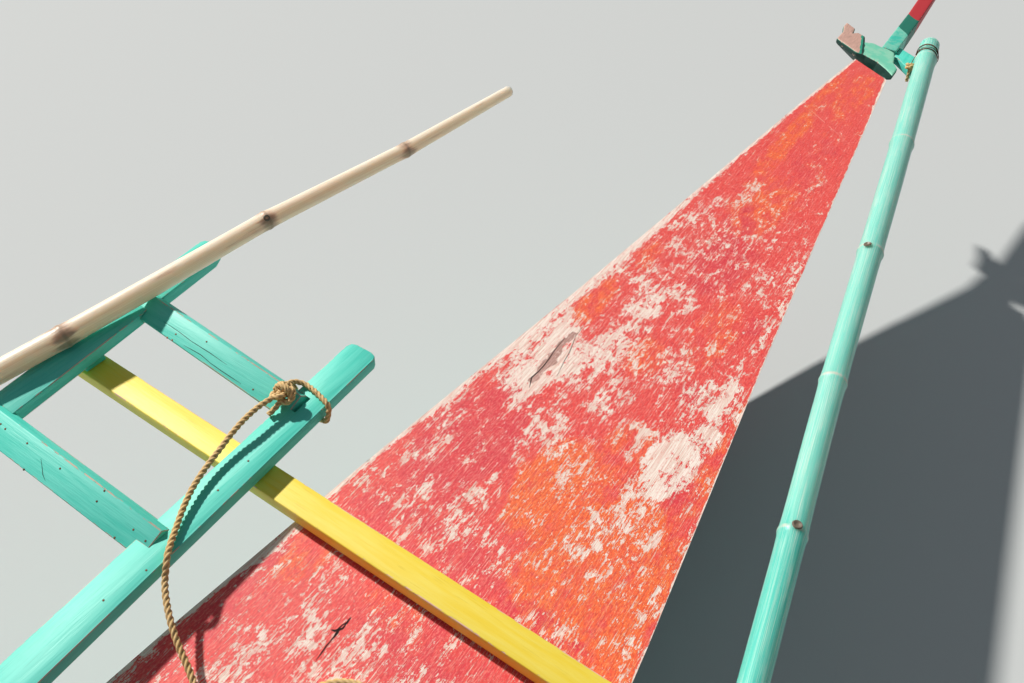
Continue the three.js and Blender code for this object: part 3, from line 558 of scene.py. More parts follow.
def deck_paint():
    """Red paint in several coats: orange and crimson areas, flakes along the grain, pale dry wood below."""
    material, shader, place = start_material("deck_paint")
    mask = add("SeparateXYZ", {0: mark(shader, "coats", "Vector")})
    bare_part, orange_part, crimson_part = mask.outputs
    flake = speckle(place, (36, 78, 60), 8, 0.72)
    chips = speckle(place, (120, 300, 120), 5, 0.7, (2, 5, 1))
    streak = speckle(place, (8, 290, 120), 4, 0.65, (9, 1, 3))
    grain = speckle(place, (9, 640, 200), 3, 0.65, (1, 7, 3))
    patch = speckle(place, (17, 26, 20), 6, 0.62, (3, 3, 3))
    cloud = speckle(place, (7, 11, 9), 6, 0.66, (5, 2, 1))
    thin = speckle(place, (20, 400, 160), 4, 0.62, (4, 6, 1))
    cover = scaled(streak, 0.28, scaled(chips, 0.25, times(flake, 0.47)))
    cover = scaled(shards(place, (75, 150, 90)), 0.075, cover)
    cover = scaled(shards(place, (190, 420, 200)), 0.050, cover)
    hatch = scaled(streak, 0.35, times(thin, 0.65))
    rim_part = times(mark(shader, "rim"), swing(cloud, 1.6, 1.15))
    worn = figure("MAXIMUM", swing(cloud, 1.6, swing(patch, 1.9, bare_part)), rim_part)
    gone = figure(
        "MAXIMUM", beyond(cover, scaled(worn, -0.195, 0.697), 0.005),
        beyond(hatch, scaled(worn, -0.085, 0.625), 0.012))

    red, deep, orange = (0.84, 0.064, 0.058), (0.74, 0.034, 0.058), (0.93, 0.135, 0.032)
    warm = rise(swing(flake, 1.6, swing(patch, 2.4, swing(cloud, 1.6, orange_part))), 0.1, 0.95)
    cold = rise(swing(flake, 1.6, swing(patch, -2.2, swing(cloud, -1.4, crimson_part))), 0.15, 0.95)
    pale = mixed(warm, (0.95, 0.38, 0.31), (1.0, 0.46, 0.16))
    dark = speckle(place, (95, 260, 120), 5, 0.7, (6, 4, 8))
    coat = layered(
        mixed(cold, mixed(warm, red, orange), deep),
        (chips, 0.50, 0.60, 0.42, pale),
        (thin, 0.53, 0.62, 0.40, pale),
        (streak, 0.54, 0.64, 0.25, pale),
        (dark, 0.50, 0.62, 0.65, (0.60, 0.026, 0.034)),
        (grain, 0.54, 0.64, 0.35, (0.42, 0.024, 0.03)))
    wood = layered(
        (0.97, 0.87, 0.80),
        (grain, 0.42, 0.60, 1.0, (0.80, 0.61, 0.52)),
        (streak, 0.48, 0.60, 0.55, (0.78, 0.40, 0.33)),
        (dark, 0.55, 0.64, 0.6, (0.72, 0.22, 0.19)),
        (grain, 0.60, 0.68, 0.6, (0.38, 0.17, 0.13)))

    parts = add("SeparateXYZ", {0: place}).outputs
    chip_x, chip_y, half_long, half_wide = veneer_chip
    far_x = figure("ABSOLUTE", less(parts[0], chip_x))
    far_y = figure("ABSOLUTE", less(swing(patch, 0.05, swing(flake, 0.012, parts[1])), chip_y))
    taper = scaled(far_x, -0.6 * half_wide / half_long, half_wide * 1.3)
    chip = times(figure("LESS_THAN", far_x, half_long), figure("LESS_THAN", far_y, taper))
    under = layered(
        (0.38, 0.19, 0.16),
        (streak, 0.40, 0.62, 1.0, (0.58, 0.35, 0.31)),
        (chips, 0.56, 0.64, 1.0, (0.84, 0.66, 0.58)))
    gone = figure("MAXIMUM", gone, chip)
    height = scaled(chip, -1.2, scaled(gone, -0.9, scaled(grain, 0.5, streak)))
    colour = mixed(gone, coat, mixed(chip, wood, under))
    wire_up(shader, colour, scaled(gone, 0.22, 0.56), height, 0.5, 0.0013)
    return material


def subdivided(made, length, axes=(0, 1, 2)):
    """Cuts a piece into a net of that spacing, so that marks on its points lie close together."""
    for axis in axes:
        places = [vertex.co[axis] for vertex in made.verts]
        low, high = min(places), max(places)
        normal = Vector([float(axis == number) for number in range(3)])
        count = int((high - low) / length)
        for step in range(1, count):
            geometry = made.verts[:] + made.edges[:] + made.faces[:]
            spot = normal * (low + (high - low) * step / count)
            bmesh.ops.bisect_plane(made, geom=geometry, plane_co=spot, plane_no=normal, dist=1e-6)
    return made


def deck_sheet(node):
    """A deck's sheet, cut into a fine net so that its coats can be marked point by point."""
    made = cad_copy(node, flat=True)
    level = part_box(node)[1].z
    corners = [(round(vertex.co.x, 4), round(vertex.co.y, 4)) for vertex in made.verts]
    outline = sorted({corner for corner in corners if corner[1] > 0})
    made.normal_update()
    upward = [face for face in made.faces if face.normal.z > 0.99]
    top = [face for face in upward if face.calc_center_median().z > level - 0.001]
    for width in (0.004, 0.008):
        bmesh.ops.inset_region(made, faces=top, thickness=width, use_even_offset=True)
    subdivided(made, deck_net, (0, 1))
    coats = made.verts.layers.float_vector.new("coats")
    rim = made.verts.layers.float.new("rim")
    for vertex in made.verts:
        x, y, z = vertex.co
        after = next((number for number, spot in enumerate(outline) if spot[0] >= x), len(outline) - 1)
        (x_before, half_before), (x_after, half_after) = outline[max(after - 1, 0)], outline[after]
        part = min((x - x_before) / max(x_after - x_before, 1e-6), 1)
        half = half_before + (half_after - half_before) * part
        wander = noise.noise(Vector((x * 5, y * 11, 3))) * 0.03
        vertex[coats] = Vector((
            max(strongest(bare_spots, x + wander, y + wander * 0.5), 0.40 - 0.27 * eased((x - 4.0) / 0.5)),
            strongest(orange_spots, x, y), strongest(crimson_spots, x, y)))
        rubbed = exp(-((x - 3.6) / 0.5) ** 2) + exp(-((x - 2.53) / 0.07) ** 2)
        reach = 0.0045 + (y > 0) * (0.0085 + 0.03 * rubbed)
        vertex[rim] = 1.0 if z < level - 0.004 else eased(1.25 - (half - abs(y)) / reach)
    return made


deck_finish = deck_paint()
for node in ("foredeck", "foredeck_tip", "aft_deck"):
    fit(deck_sheet(node), node + "_sheet", deck_finish, "deck_red", node)

# Gunwales: planed caps over the cockpit's edges, painted yellow like the cross beams that lie on the
# foredeck. Each is one length of wood, its arrises rubbed bare where lines and feet go over it.
yellows = (0.91, 0.66, 0.035), (0.93, 0.77, 0.14), (0.88, 0.55, 0.42)
yellow_across = painted_wood("yellow_across", *yellows, (0, 1, 0), 0.07, 0.7)
yellow_along = painted_wood("yellow_along", *yellows, (1, 0, 0), 0.12, 0.7)
for node in ("gunwale_port", "gunwale_starboard"):
    dress(node, "_cap", yellow_along, "yellow_paint", 0.004)
for node in ("cross_beam_front", "cross_beam_aft"):
    dress(node, "_painted", yellow_across, "yellow_paint", 0.0025)

# Cockpit: floor boards laid with gaps on the ribs, three thwarts, and bearers for the engine. All this wood
# is oiled, not painted.


def oiled_wood(name, along, pale=(0.50, 0.33, 0.19), dark=(0.25, 0.135, 0.065)):
    """Oiled hardwood: long growth lines, fine pores and grey sun-bleached patches."""
    material, shader, place = start_material(name)
    lines = speckle(place, grained(along, 55, 4), 5, 0.6)
    pores = speckle(place, grained(along, 520, 25), 2, 0.6)
    patch = speckle(place, (5, 5, 5), 4, 0.6, (2, 8, 1))
    wood = layered(
        dark, (lines, 0.3, 0.7, 1.0, pale), (pores, 0.55, 0.7, 0.6, dark),
        (patch, 0.45, 0.68, 0.5, (0.47, 0.41, 0.34)))
    wire_up(shader, wood, 0.68, scaled(pores, 0.6, lines), 0.4, 0.001)
    return material


def joined(*parts):
    """Several bmeshes as one."""
    whole = bmesh.new()
    for part in parts:
        carrier = bpy.data.meshes.new("carrier")
        part.to_mesh(carrier)
        part.free()
        whole.from_mesh(carrier)
        bpy.data.meshes.remove(carrier)
    return whole


def strip_of(node, axis, low, high):
    """The part of a CAD piece between two places on an axis, closed at its cuts."""
    made = cad_copy(node, flat=True)
    normal = Vector([float(axis == number) for number in range(3)])
    for place, direction in ((low, -normal), (high, normal)):
        bmesh.ops.bisect_plane(
            made, geom=made.verts[:] + made.edges[:] + made.faces[:], plane_co=normal * place,
            plane_no=direction, clear_outer=True)
        bmesh.ops.holes_fill(made, edges=[edge for edge in made.edges if edge.is_boundary])
    return made


wood_along = oiled_wood("wood_along", (1, 0, 0))
wood_across = oiled_wood("wood_across", (0, 1, 0))
board_width, board_gap = 0.088, 0.007
half_boards = int(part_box("floor_boards")[1].y / (board_width + board_gap))
boards = []
for number in range(-half_boards, half_boards + 1):
    middle = number * (board_width + board_gap)
    board = strip_of("floor_boards", 1, middle - board_width / 2, middle + board_width / 2)
    boards.append(eased_arrises(board, 0.002))
fit(joined(*boards), "floor_boards_laid", wood_along, "bare_wood", "floor_boards")
for node in ("thwart_1", "thwart_2", "thwart_3"):
    dress(node, "_planed", wood_across, "bare_wood", 0.004)
for node in ("engine_bearer_port", "engine_bearer_starboard"):
    dress(node, "_planed", wood_along, "bare_wood", 0.004)

# Engine: a small single-cylinder air-cooled diesel that stands on the two bearers. Its crankcase and fan
# housing are cast and enamelled grey-green; the finned cylinder, the head and the gearbox bolt to them.


def enamel(name, paint, worn):
    """Machine enamel over cast iron, dulled by oil and rubbed through on its edges."""
    material, shader, place = start_material(name)
    cloud = speckle(place, (9, 9, 9), 5, 0.62)
    pit = speckle(place, (120, 120, 120), 4, 0.6, (3, 3, 3))
    coat = mixed(rise(cloud, 0.35, 0.7), paint, darker(paint, 0.55))
    gone = beyond(pit, scaled(mark(shader, "arris"), -0.16, 0.74), 0.04)
    height = scaled(gone, -0.8, pit)
    wire_up(shader, mixed(gone, coat, worn), scaled(cloud, 0.4, 0.22), height, 0.3, 0.0008)
    return material


def cast_block(low, high, ease=0.008, steps=3):
    """A rectangular casting between two corners, with rounded arrises."""
    low, high = Vector(low), Vector(high)
    made = bmesh.new()
    bmesh.ops.create_cube(made, size=1, matrix=Matrix.Translation((low + high) / 2))
    bmesh.ops.scale(
        made, vec=high - low, space=Matrix.Translation(-(low + high) / 2), verts=made.verts)
    return eased_arrises(made, ease, steps)


def turned(profile, start, direction, steps=36):
    """A solid turned on a lathe: rows of distance along the axis and radius, spun round the axis."""
    made = bmesh.new()
    corners = [made.verts.new((radius, 0, along)) for along, radius in profile]
    for first, second in zip(corners, corners[1:]):
        made.edges.new((first, second))
    bmesh.ops.spin(
        made, geom=made.verts[:] + made.edges[:], cent=(0, 0, 0), axis=(0, 0, 1), angle=tau, steps=steps,
        use_merge=True)
    bmesh.ops.remove_doubles(made, verts=made.verts, dist=1e-6)
    bmesh.ops.holes_fill(made, edges=[edge for edge in made.edges if edge.is_boundary])
    bmesh.ops.recalc_face_normals(made, faces=made.faces)
    turn = Vector((0, 0, 1)).rotation_difference(Vector(direction)).to_matrix().to_4x4()
    bmesh.ops.transform(made, matrix=Matrix.Translation(Vector(start)) @ turn, verts=made.verts)
    return made


def drum(*rows):
    """A lathe profile closed at both ends."""
    return [(rows[0][0], 0.002), *rows, (rows[-1][0], 0.002)]


def finned(count, step, thick, core, fin):
    """The lathe profile of a cylinder with cooling fins."""
    rows = [(0.0, core)]
    for number in range(count):
        foot = 0.004 + number * step
        rows += [(foot, core), (foot + 0.0005, fin), (foot + thick, fin), (foot + thick + 0.0005, core)]
    return drum(*rows, (0.004 + count * step, core))


engine_grey = enamel("engine_enamel", (0.085, 0.135, 0.115), (0.24, 0.17, 0.12))
engine_parts = [
    turned(drum((0, 0.100), (0.012, 0.112), (0.03, 0.112)), (-2.19, 0, 0.02), (-1, 0, 0)),
    turned(
        drum((0, 0.098), (0.03, 0.094), (0.075, 0.080), (0.115, 0.078), (0.122, 0.050), (0.15, 0.044),
             (0.15, 0.036), (0.168, 0.036), (0.168, 0.052), (0.1795, 0.052)),
        (-2.2198, 0, -0.018), (-1, 0, 0)),
    turned(drum((0, 0.125), (0.008, 0.132), (0.048, 0.132), (0.056, 0.120)), (-1.985, 0, 0.045), (1, 0, 0)),
    turned(finned(9, 0.0145, 0.006, 0.052, 0.082), (-2.09, 0, 0.103), (0, 0, 1), 32),
]
blocks = [
    ((-2.19, -0.105, -0.072), (-1.985, 0.105, 0.105), 0.014),
    ((-2.205, -0.125, -0.092), (-1.97, 0.125, -0.066), 0.005),
    ((-2.165, -0.072, 0.236), (-2.015, 0.072, 0.262), 0.006),
    ((-2.155, -0.05, 0.261), (-2.025, 0.05, 0.2895), 0.010),
]
for y in (-0.13, 0.13):
    for x in (-2.345, -1.935):
        blocks.append(((x - 0.03, y - 0.028, -0.1098), (x + 0.03, y + 0.028, -0.098), 0.003))
    blocks += [
        ((-2.375, y - 0.008, -0.098), (-1.905, y + 0.008, -0.05), 0.003),
        ((-2.17, min(y, 0), -0.088), (-2.0, max(y, 0), -0.070), 0.003),
        ((-2.36, y - 0.026, -0.066), (-2.20, y + 0.026, -0.05), 0.004),
        ((-2.36, min(y, y * 0.45), -0.064), (-2.32, max(y, y * 0.45), -0.046), 0.004),
    ]
engine_parts += [cast_block(*block) for block in blocks]
fit(joined(*engine_parts), "engine_castings", engine_grey, "engine_paint", "engine")

# Bright and black parts on the engine: the grooved belt pulley, pipes, the exhaust, the air cleaner, the oil
# and fuel filters and the bolt heads round its covers.


def bare_metal(name, bright, dull, rough):
    """Machined or cast metal with a film of tarnish."""
    material, shader, place = start_material(name)
    cloud = speckle(place, (14, 14, 14), 6, 0.65)
    fine = speckle(place, (260, 260, 260), 2, 0.6, (1, 2, 3))
    feed(shader, "Metallic", 0.9)
    colour = mixed(rise(cloud, 0.35, 0.68), bright, dull)
    wire_up(shader, colour, scaled(cloud, 0.35, rough), fine, 0.2, 0.0006)
    return material


def round_pipe(points, radius, sides=14):
    """A bent pipe."""
    return tube(through(points, 0.006), sides, lambda angle, distance: radius)


def bolt_head(place, direction, radius, height, top):
    """A six-sided bolt head with a bevelled top."""
    rows = [(0, 0.0005), (0, radius), (height, radius), (height + 0.001, top), (height + 0.001, 0.0005)]
    return turned(rows, place, direction, 6)


steel_finish = bare_metal("tarnished_steel", (0.46, 0.46, 0.45), (0.25, 0.21, 0.18), 0.22)
rusty_finish = bare_metal("rusted_iron", (0.20, 0.10, 0.055), (0.11, 0.05, 0.03), 0.5)
steel_parts = [
    turned(
        drum((0, 0.066), (0.004, 0.070), (0.008, 0.070), (0.015, 0.058), (0.018, 0.058), (0.025, 0.070),
             (0.029, 0.070), (0.032, 0.062), (0.032, 0.030), (0.046, 0.026), (0.0488, 0.022)),
        (-1.929, 0, 0.045), (1, 0, 0)),
    round_pipe([(-2.02, 0.08, 0.25), (-1.99, 0.10, 0.255), (-1.975, 0.12, 0.22), (-1.98, 0.128, 0.14),
                (-2.02, 0.125, 0.08), (-2.06, 0.108, 0.06)], 0.0035, 10),
    round_pipe([(-2.03, -0.072, 0.250), (-2.01, -0.095, 0.245), (-2.0, -0.12, 0.2), (-2.02, -0.128, 0.12),
                (-2.05, -0.112, 0.05)], 0.003, 10),
]
for turn in [corner * tau / 8 + 0.2 for corner in range(8)]:
    place = (-2.2195, 0.104 * cos(turn), 0.02 + 0.104 * sin(turn))
    steel_parts.append(bolt_head(place, (-1, 0, 0), 0.007, 0.005, 0.0055))
for x in (-2.15, -2.03):
    steel_parts += [bolt_head((x, y, 0.262), (0, 0, 1), 0.008, 0.008, 0.006) for y in (-0.061, 0.061)]
fit(joined(*steel_parts), "engine_bright_parts", steel_finish, "steel", sharp=40)
exhaust_pipe = round_pipe(
    [(-2.12, 0.06, 0.245), (-2.12, 0.095, 0.245), (-2.122, 0.118, 0.235), (-2.125, 0.13, 0.205),
     (-2.125, 0.13, 0.16)], 0.017, 18)
silencer = turned(
    drum((0, 0.03), (0.006, 0.036), (0.13, 0.036), (0.136, 0.03)), (-2.125, 0.13, 0.165), (0, 0, -1), 24)
fit(joined(exhaust_pipe, silencer), "engine_exhaust", rusty_finish, "steel", sharp=40)
black_parts = [
    turned(drum((0, 0.045), (0.006, 0.052), (0.062, 0.052), (0.07, 0.047), (0.074, 0.03)),
           (-2.115, -0.112, 0.195), (0, 0, 1), 28),
    round_pipe([(-2.11, -0.05, 0.245), (-2.112, -0.08, 0.24), (-2.114, -0.105, 0.225)], 0.016, 16),
    turned(drum((0, 0.03), (0.006, 0.034), (0.07, 0.034), (0.076, 0.028)),
           (-2.03, -0.134, 0.075), (0, 0, -1), 24),
    turned(drum((0, 0.03), (0.004, 0.033), (0.10, 0.033), (0.104, 0.03)),
           (-2.185, -0.134, -0.005), (1, 0, 0), 24),
]
engine_black = enamel("black_enamel", (0.02, 0.02, 0.022), (0.16, 0.15, 0.14))
fit(joined(*black_parts), "engine_black_parts", engine_black, "engine_paint", sharp=40)

# Drive: a steel shaft runs aft and down through a bronze tube in the log to a three-bladed bronze propeller
# held by a bronze strut. The blades' edges are ground thin.
bronze_finish = bare_metal("bronze", (0.52, 0.33, 0.12), (0.24, 0.20, 0.11), 0.25)
for node in ("stern_tube", "shaft_strut"):
    dress(node, "_cast", bronze_finish, "bronze", 0.0015, 2, 40)
dress("propeller", "_cast", bronze_finish, "bronze", 0.0022, 2, 40, body="drive")
shaft = cad_copy("propeller_shaft")
fit(shaft, "propeller_shaft_turned", steel_finish, "steel", "propeller_shaft", body="drive")

# Rudder: a wooden blade let on to a steel stock that turns in two brackets on the transom, and a long
# tiller.
for node in ("rudder_bracket_top", "rudder_bracket_low"):
    dress(node, "_forged", rusty_finish, "steel", 0.002, 2, 40)
dress("rudder_stock", "_turned", steel_finish, "steel", 0.0015, 2, 50, body="rudder")
dress("rudder_blade", "_painted", block_paint, "hull_paint", 0.005, 3, 50, body="rudder")
dress("tiller", "_shaved", wood_along, "bare_wood", 0.003, 2, 50, body="rudder")

# Stem head and bracket: a green block on the stem under the cleat, and a bracket under the painted bamboo's
# end. Both are solid wood, brushed with house paint. The block's green is darkened as painted shade for the
# recess under the cleat.
teals = (0.05, 0.60, 0.48), (0.18, 0.75, 0.64), (0.62, 0.50, 0.40)
teal_along = painted_wood("teal_along", *teals, (1, 0, 0), 0.06, 0.45)
# The stem head's dark green is green paint darkened as painted shade for the recess under the cleat.
stem_head_shade_green = painted_wood("stem_head_shade_green", (0.012, 0.23, 0.17), (0.05, 0.40, 0.30), teals[2], (1, 0, 0), 0.1)
dress("stem_head", "_carved", stem_head_shade_green, "teal_paint", 0.004)
dress("bow_bracket", "_painted", teal_along, "teal_paint", 0.003)

# Cleat: a crooked limb of hardwood shaped into two horns, painted teal; its sides and underside are
# near-black green, which is painted shade. Its port horn has lost its paint to the anchor line, and the wood
# there is pinkish and smooth.


def marked(made, name, at):
    """Adds a float attribute whose value at() gives from each point's place."""
    layer = made.verts.layers.float.new(name)
    for vertex in made.verts:
        vertex[layer] = at(*vertex.co)
    return made


def banded_paint(name, first, second, third, wood):
    """Old paint whose colour changes along a piece: the value band runs from 0 to 3, and 3 is bare wood."""
    material, shader, place = start_material(name)
    cloud = speckle(place, (22, 22, 22), 6, 0.65)
    chip = speckle(place, (60, 110, 110), 7, 0.7, (4, 4, 1))
    grain = speckle(place, (30, 300, 300), 3, 0.6)
    edge = swing(chip, 0.55, mark(shader, "band"))
    coat = layered(first, (edge, 0.47, 0.53, 1.0, second), (edge, 1.47, 1.53, 1.0, third))
    pale = times(less(1.0, rise(edge, 0.47, 0.53)), rise(cloud, 0.42, 0.60))
    coat = mixed(times(pale, 0.35), coat, (0.46, 0.70, 0.54))
    lost = beyond(chip, scaled(mark(shader, "arris"), -0.22, 0.80), 0.03)
    lost = figure("MAXIMUM", lost, rise(edge, 2.47, 2.53))
    bare = mixed(rise(grain, 0.35, 0.7), wood, darker(wood, 0.7))
    wire_up(shader, mixed(lost, coat, bare), 0.55, scaled(lost, -0.7, cloud), 0.5, 0.0015)
    return material


horn_wood = (0.66, 0.40, 0.33)
# The second colour, near-black green, is painted shade on the cleat's sides and underside.
cleat_paint = banded_paint(
    "cleat_paint", (0.17, 0.60, 0.43), (0.004, 0.045, 0.034), (0.02, 0.3, 0.2), horn_wood)
made = subdivided(eased_arrises(cad_copy("bow_cleat", flat=True), 0.005, 3), 0.012)
made.normal_update()
facing_up = {tuple(round(part, 4) for part in vertex.co): vertex.normal.z for vertex in made.verts}


def cleat_band(x, y, z):
    """Pale teal on top, near-black green as painted shade on the sides and underside, and bare wood on the
    port horn.
    """
    bare = eased((y - 0.070 - 0.25 * (x - 5.5)) / 0.03)
    # Faces that turn away from the sky get the painted shade.
    under = eased((0.62 - facing_up[(round(x, 4), round(y, 4), round(z, 4))]) / 0.3)
    return 3.0 * bare * (1.0 - under) + under


fit(marked(made, "band", cleat_band), "bow_cleat_carved", cleat_paint, "teal_paint", "bow_cleat")

# Beak: a plank on edge that carries the stem's line up and forward. It is painted teal, then dark green, and
# red at its end, each colour cut in aslant.
beak_paint = banded_paint(
    "beak_paint", (0.05, 0.52, 0.41), (0.010, 0.17, 0.12), (0.50, 0.03, 0.04), teals[2])


def beak_band(x, y, z):
    """0 teal, 1 dark green, 2 red, by the slanting lines between the colours."""
    green = eased((x - 1.05 * y - 5.738) / 0.004 + 0.5)
    red = eased((x - 0.75 * y - 5.887) / 0.004 + 0.5)
    return green + red


made = subdivided(eased_arrises(cad_copy("prow_beak", flat=True), 0.004, 3), 0.014)
fit(marked(made, "band", beak_band), "prow_beak_painted", beak_paint, "teal_paint", "prow_beak")

# Bamboo canes: hollow culms, each joint of the culm a raised ring. A cane is swept along its line in rings
# that stand close together at the joints. Booms and floats are bare canes, greyed by the weather.
cane_step = 0.004
ring_rise, ring_half = 0.07, 0.006
swell_rise, swell_half = 0.04, 0.03


def cane(rows, joints, sides=24, dense=8, coarse=9):
    """A cane through rows of place and radius, with a raised ring at each joint. The attribute joint runs
    from 0 on a ring to 1 away from it."""
    spine = through([row[:3] for row in rows], cane_step)
    span = [abs(rows[-1][axis] - rows[0][axis]) for axis in range(3)]
    main = span.index(max(span))

    def step_of(value):
        return min(range(len(spine)), key=lambda step: abs(spine[step][main] - value))

    rings = [step_of(value) for value in joints]
    kept = set(range(0, len(spine), coarse)) | {0, 1, len(spine) - 2, len(spine) - 1}
    for ring in rings:
        kept |= set(range(max(ring - dense, 0), min(ring + dense + 1, len(spine))))
    kept = sorted(kept)
    knots = [(step_of(row[main]) * cane_step, row[3]) for row in rows]
    knots.sort()

    def reach(angle, distance):
        radius = knots[-1][1]
        for (first, small), (second, large) in zip(knots, knots[1:]):
            if first <= distance <= second:
                radius = small + (large - small) * (distance - first) / max(second - first, 1e-6)
                break
        away = min([abs(distance - ring * cane_step) for ring in rings] + [1])
        ring = ring_rise * exp(-((away / ring_half) ** 2))
        radius *= 1 + ring + swell_rise * exp(-((away / swell_half) ** 2))
        length = (len(spine) - 1) * cane_step
        return radius * (0.9 if distance < 0.0005 or distance > length - 0.0005 else 1.0)

    made = tube([spine[step] for step in kept], sides, reach)
    lie = made.verts.layers.float_vector["lie"]
    joint = made.verts.layers.float.new("joint")
    for vertex in made.verts:
        away = min([abs(vertex[lie].z - ring * cane_step) for ring in rings] + [1])
        vertex[joint] = min(away / 0.05, 1)
    return made


def cane_skin(name, pale, dark, stain, paint=None, faded=None, soft=0.0):
    """A culm's skin: fine long fibres, cloudy grey stains that start at the joints, a dark scar round each
    ring. Paint is brushed over it and rubbed off the rings. Light passes into a soft skin."""
    material, shader, _ = start_material(name)
    feed(shader, "Subsurface Weight", soft)
    feed(shader, "Subsurface Radius", (1.0, 0.85, 0.75))
    feed(shader, "Subsurface Scale", 0.06)
    lie = mark(shader, "lie", "Vector")
    joint = mark(shader, "joint")
    fibre = speckle(lie, (16, 16, 2.2), 5, 0.66)
    fine = speckle(lie, (46, 46, 5), 3, 0.6, (2, 2, 2))
    cloud = speckle(lie, (1.3, 1.3, 5), 5, 0.62, (7, 1, 4))
    near = less(1.0, rise(joint, 0.0, 0.9))
    scar = less(1.0, rise(joint, 0.03, 0.13))
    coat = layered(
        dark, (fibre, 0.3, 0.72, 1.0, pale), (fine, 0.55, 0.75, 0.4, dark),
        (scaled(near, 0.28, cloud), 0.56, 0.82, 0.8, stain))
    if paint:
        wood = coat
        line = speckle(lie, (60, 60, 3), 3, 0.6, (5, 3, 2))
        chip = speckle(lie, (9, 9, 60), 6, 0.7, (1, 8, 2))
        far = add("SeparateXYZ", {0: lie}).outputs[2]
        chalky = less(1.0, rise(scaled(cloud, 0.8, far), 2.78, 2.98))
        coat = layered(
            mixed(scaled(rise(fibre, 0.35, 0.7), 0.3, chalky), paint, faded),
            (cloud, 0.5, 0.7, 0.4, (0.58, 0.78, 0.71)),
            (line, 0.50, 0.60, 0.45, (0.05, 0.42, 0.34)),
            (fine, 0.53, 0.62, 0.6, (0.82, 0.76, 0.69)))
        coat = mixed(beyond(chip, scaled(near, -0.09, 0.74), 0.03), coat, wood)
        rubbed = times(scar, rise(cloud, 0.36, 0.58))
        coat = mixed(times(rubbed, 0.75), coat, (0.66, 0.58, 0.50))
    else:
        coat = mixed(times(scar, 0.3), coat, darker(stain, 0.45))
    wire_up(shader, coat, scaled(fibre, 0.25, 0.26), scaled(fine, 0.5, fibre), 0.22, 0.001)
    return material


bamboo_grey = cane_skin("bamboo_grey", (0.50, 0.40, 0.29), (0.33, 0.25, 0.17), (0.16, 0.13, 0.10))


def joints_between(low, high, first, spacing=0.42, change=0.004):
    """Places of a culm's joints, a little further apart along its length."""
    places, place = [], low + first
    while place < high - 0.05:
        places.append(place)
        place += spacing
        spacing += change
    return places


boom_radius, bend_start = 0.036, 1.35
float_middle = (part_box("float_port")[0].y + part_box("float_port")[1].y) / 2
float_level = 0.035
flat_part = cos(pi / 12)
for name, station, first in (("front", 0.45, 0.17), ("middle", -1.25, 0.05), ("aft", -2.95, 0.26)):
    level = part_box("boom_" + name)[1].z - boom_radius * flat_part
    rows = []
    for y in (2.5, 2.4, 2.25, 2.05, 1.85, 1.6, 1.35, 1.0, 0.5, 0.0):
        bent = max(y - bend_start, 0) / (float_middle - bend_start)
        drop = (level - float_level) * bent**2
        rows.append((station, -y, level - drop, boom_radius * flat_part * (1 - 0.15 * bent)))
    rows += [(x, -y, z, radius) for x, y, z, radius in rows[-2::-1]]
    made = cane(rows, joints_between(-2.5, 2.5, first, 0.39, 0.0), 20)
    fit(made, "boom_" + name + "_cane", bamboo_grey, "bamboo", "boom_" + name, sharp=60)

# Floats: two thick canes side by side on each side of the boat, bent up at both ends and lashed together.
float_radius, float_half = 0.055, 0.050
float_rows = (
    (-4.10, 0.230, 0.72), (-3.85, 0.148, 0.80), (-3.60, 0.070, 0.88), (-3.30, 0.034, 0.97), (-3.0, 0.010, 1),
    (-2.4, 0, 1), (-1.2, 0, 1), (0, 0, 1), (1.0, 0, 1), (1.3, 0.008, 1), (1.6, 0.034, 0.953),
    (1.95, 0.110, 0.844), (2.15, 0.178, 0.782), (2.35, 0.260, 0.72),
)
for side, direction in (("port", 1), ("starboard", -1)):
    canes = []
    for number, shift in enumerate((float_half, -float_half)):
        rows = [(x, direction * float_middle + shift, float_level + lift, float_radius * flat_part * part)
                for x, lift, part in float_rows]
        canes.append(cane(rows, joints_between(-4.1, 2.35, 0.12 + 0.21 * number + 0.05 * direction), 20))
    fit(joined(*canes), "float_" + side + "_canes", bamboo_grey, "bamboo", "float_" + side, sharp=60)

# Ladder: two sawn rails, with six treads let into them on the slant. Each tread's top slopes aft and its
# forward arris is cut off; all of it is under teal house paint, rubbed pale along the arrises.
teal_across = painted_wood("teal_across", *teals, (0, 1, 0), 0.06, 0.55)
for node in ("ladder_rail_inner", "ladder_rail_outer"):
    dress(node, "_painted", teal_along, "teal_paint", 0.0022)
for number in range(1, 7):
    dress("tread_" + str(number), "_painted", teal_across, "teal_paint", 0.0025, 2, 20)

# Poles: a long bare bamboo laid on the ladder, its skin smooth and straw pale with brown blotches at the
# joints, and a thicker one painted teal along the starboard side, cut off square at the bow.


def branch_scar(middle, outward, radius):
    """The oval scar where a branch was cut off a culm: a low rim round a shallow hollow."""
    rim = [(0, 0.0005), (0.0018, 0.3), (0.0030, 0.55), (0.0042, 0.8), (0.0014, 1)]
    return turned([rim[0]] + [(out, radius * share) for out, share in rim[1:]], middle, outward, 14)


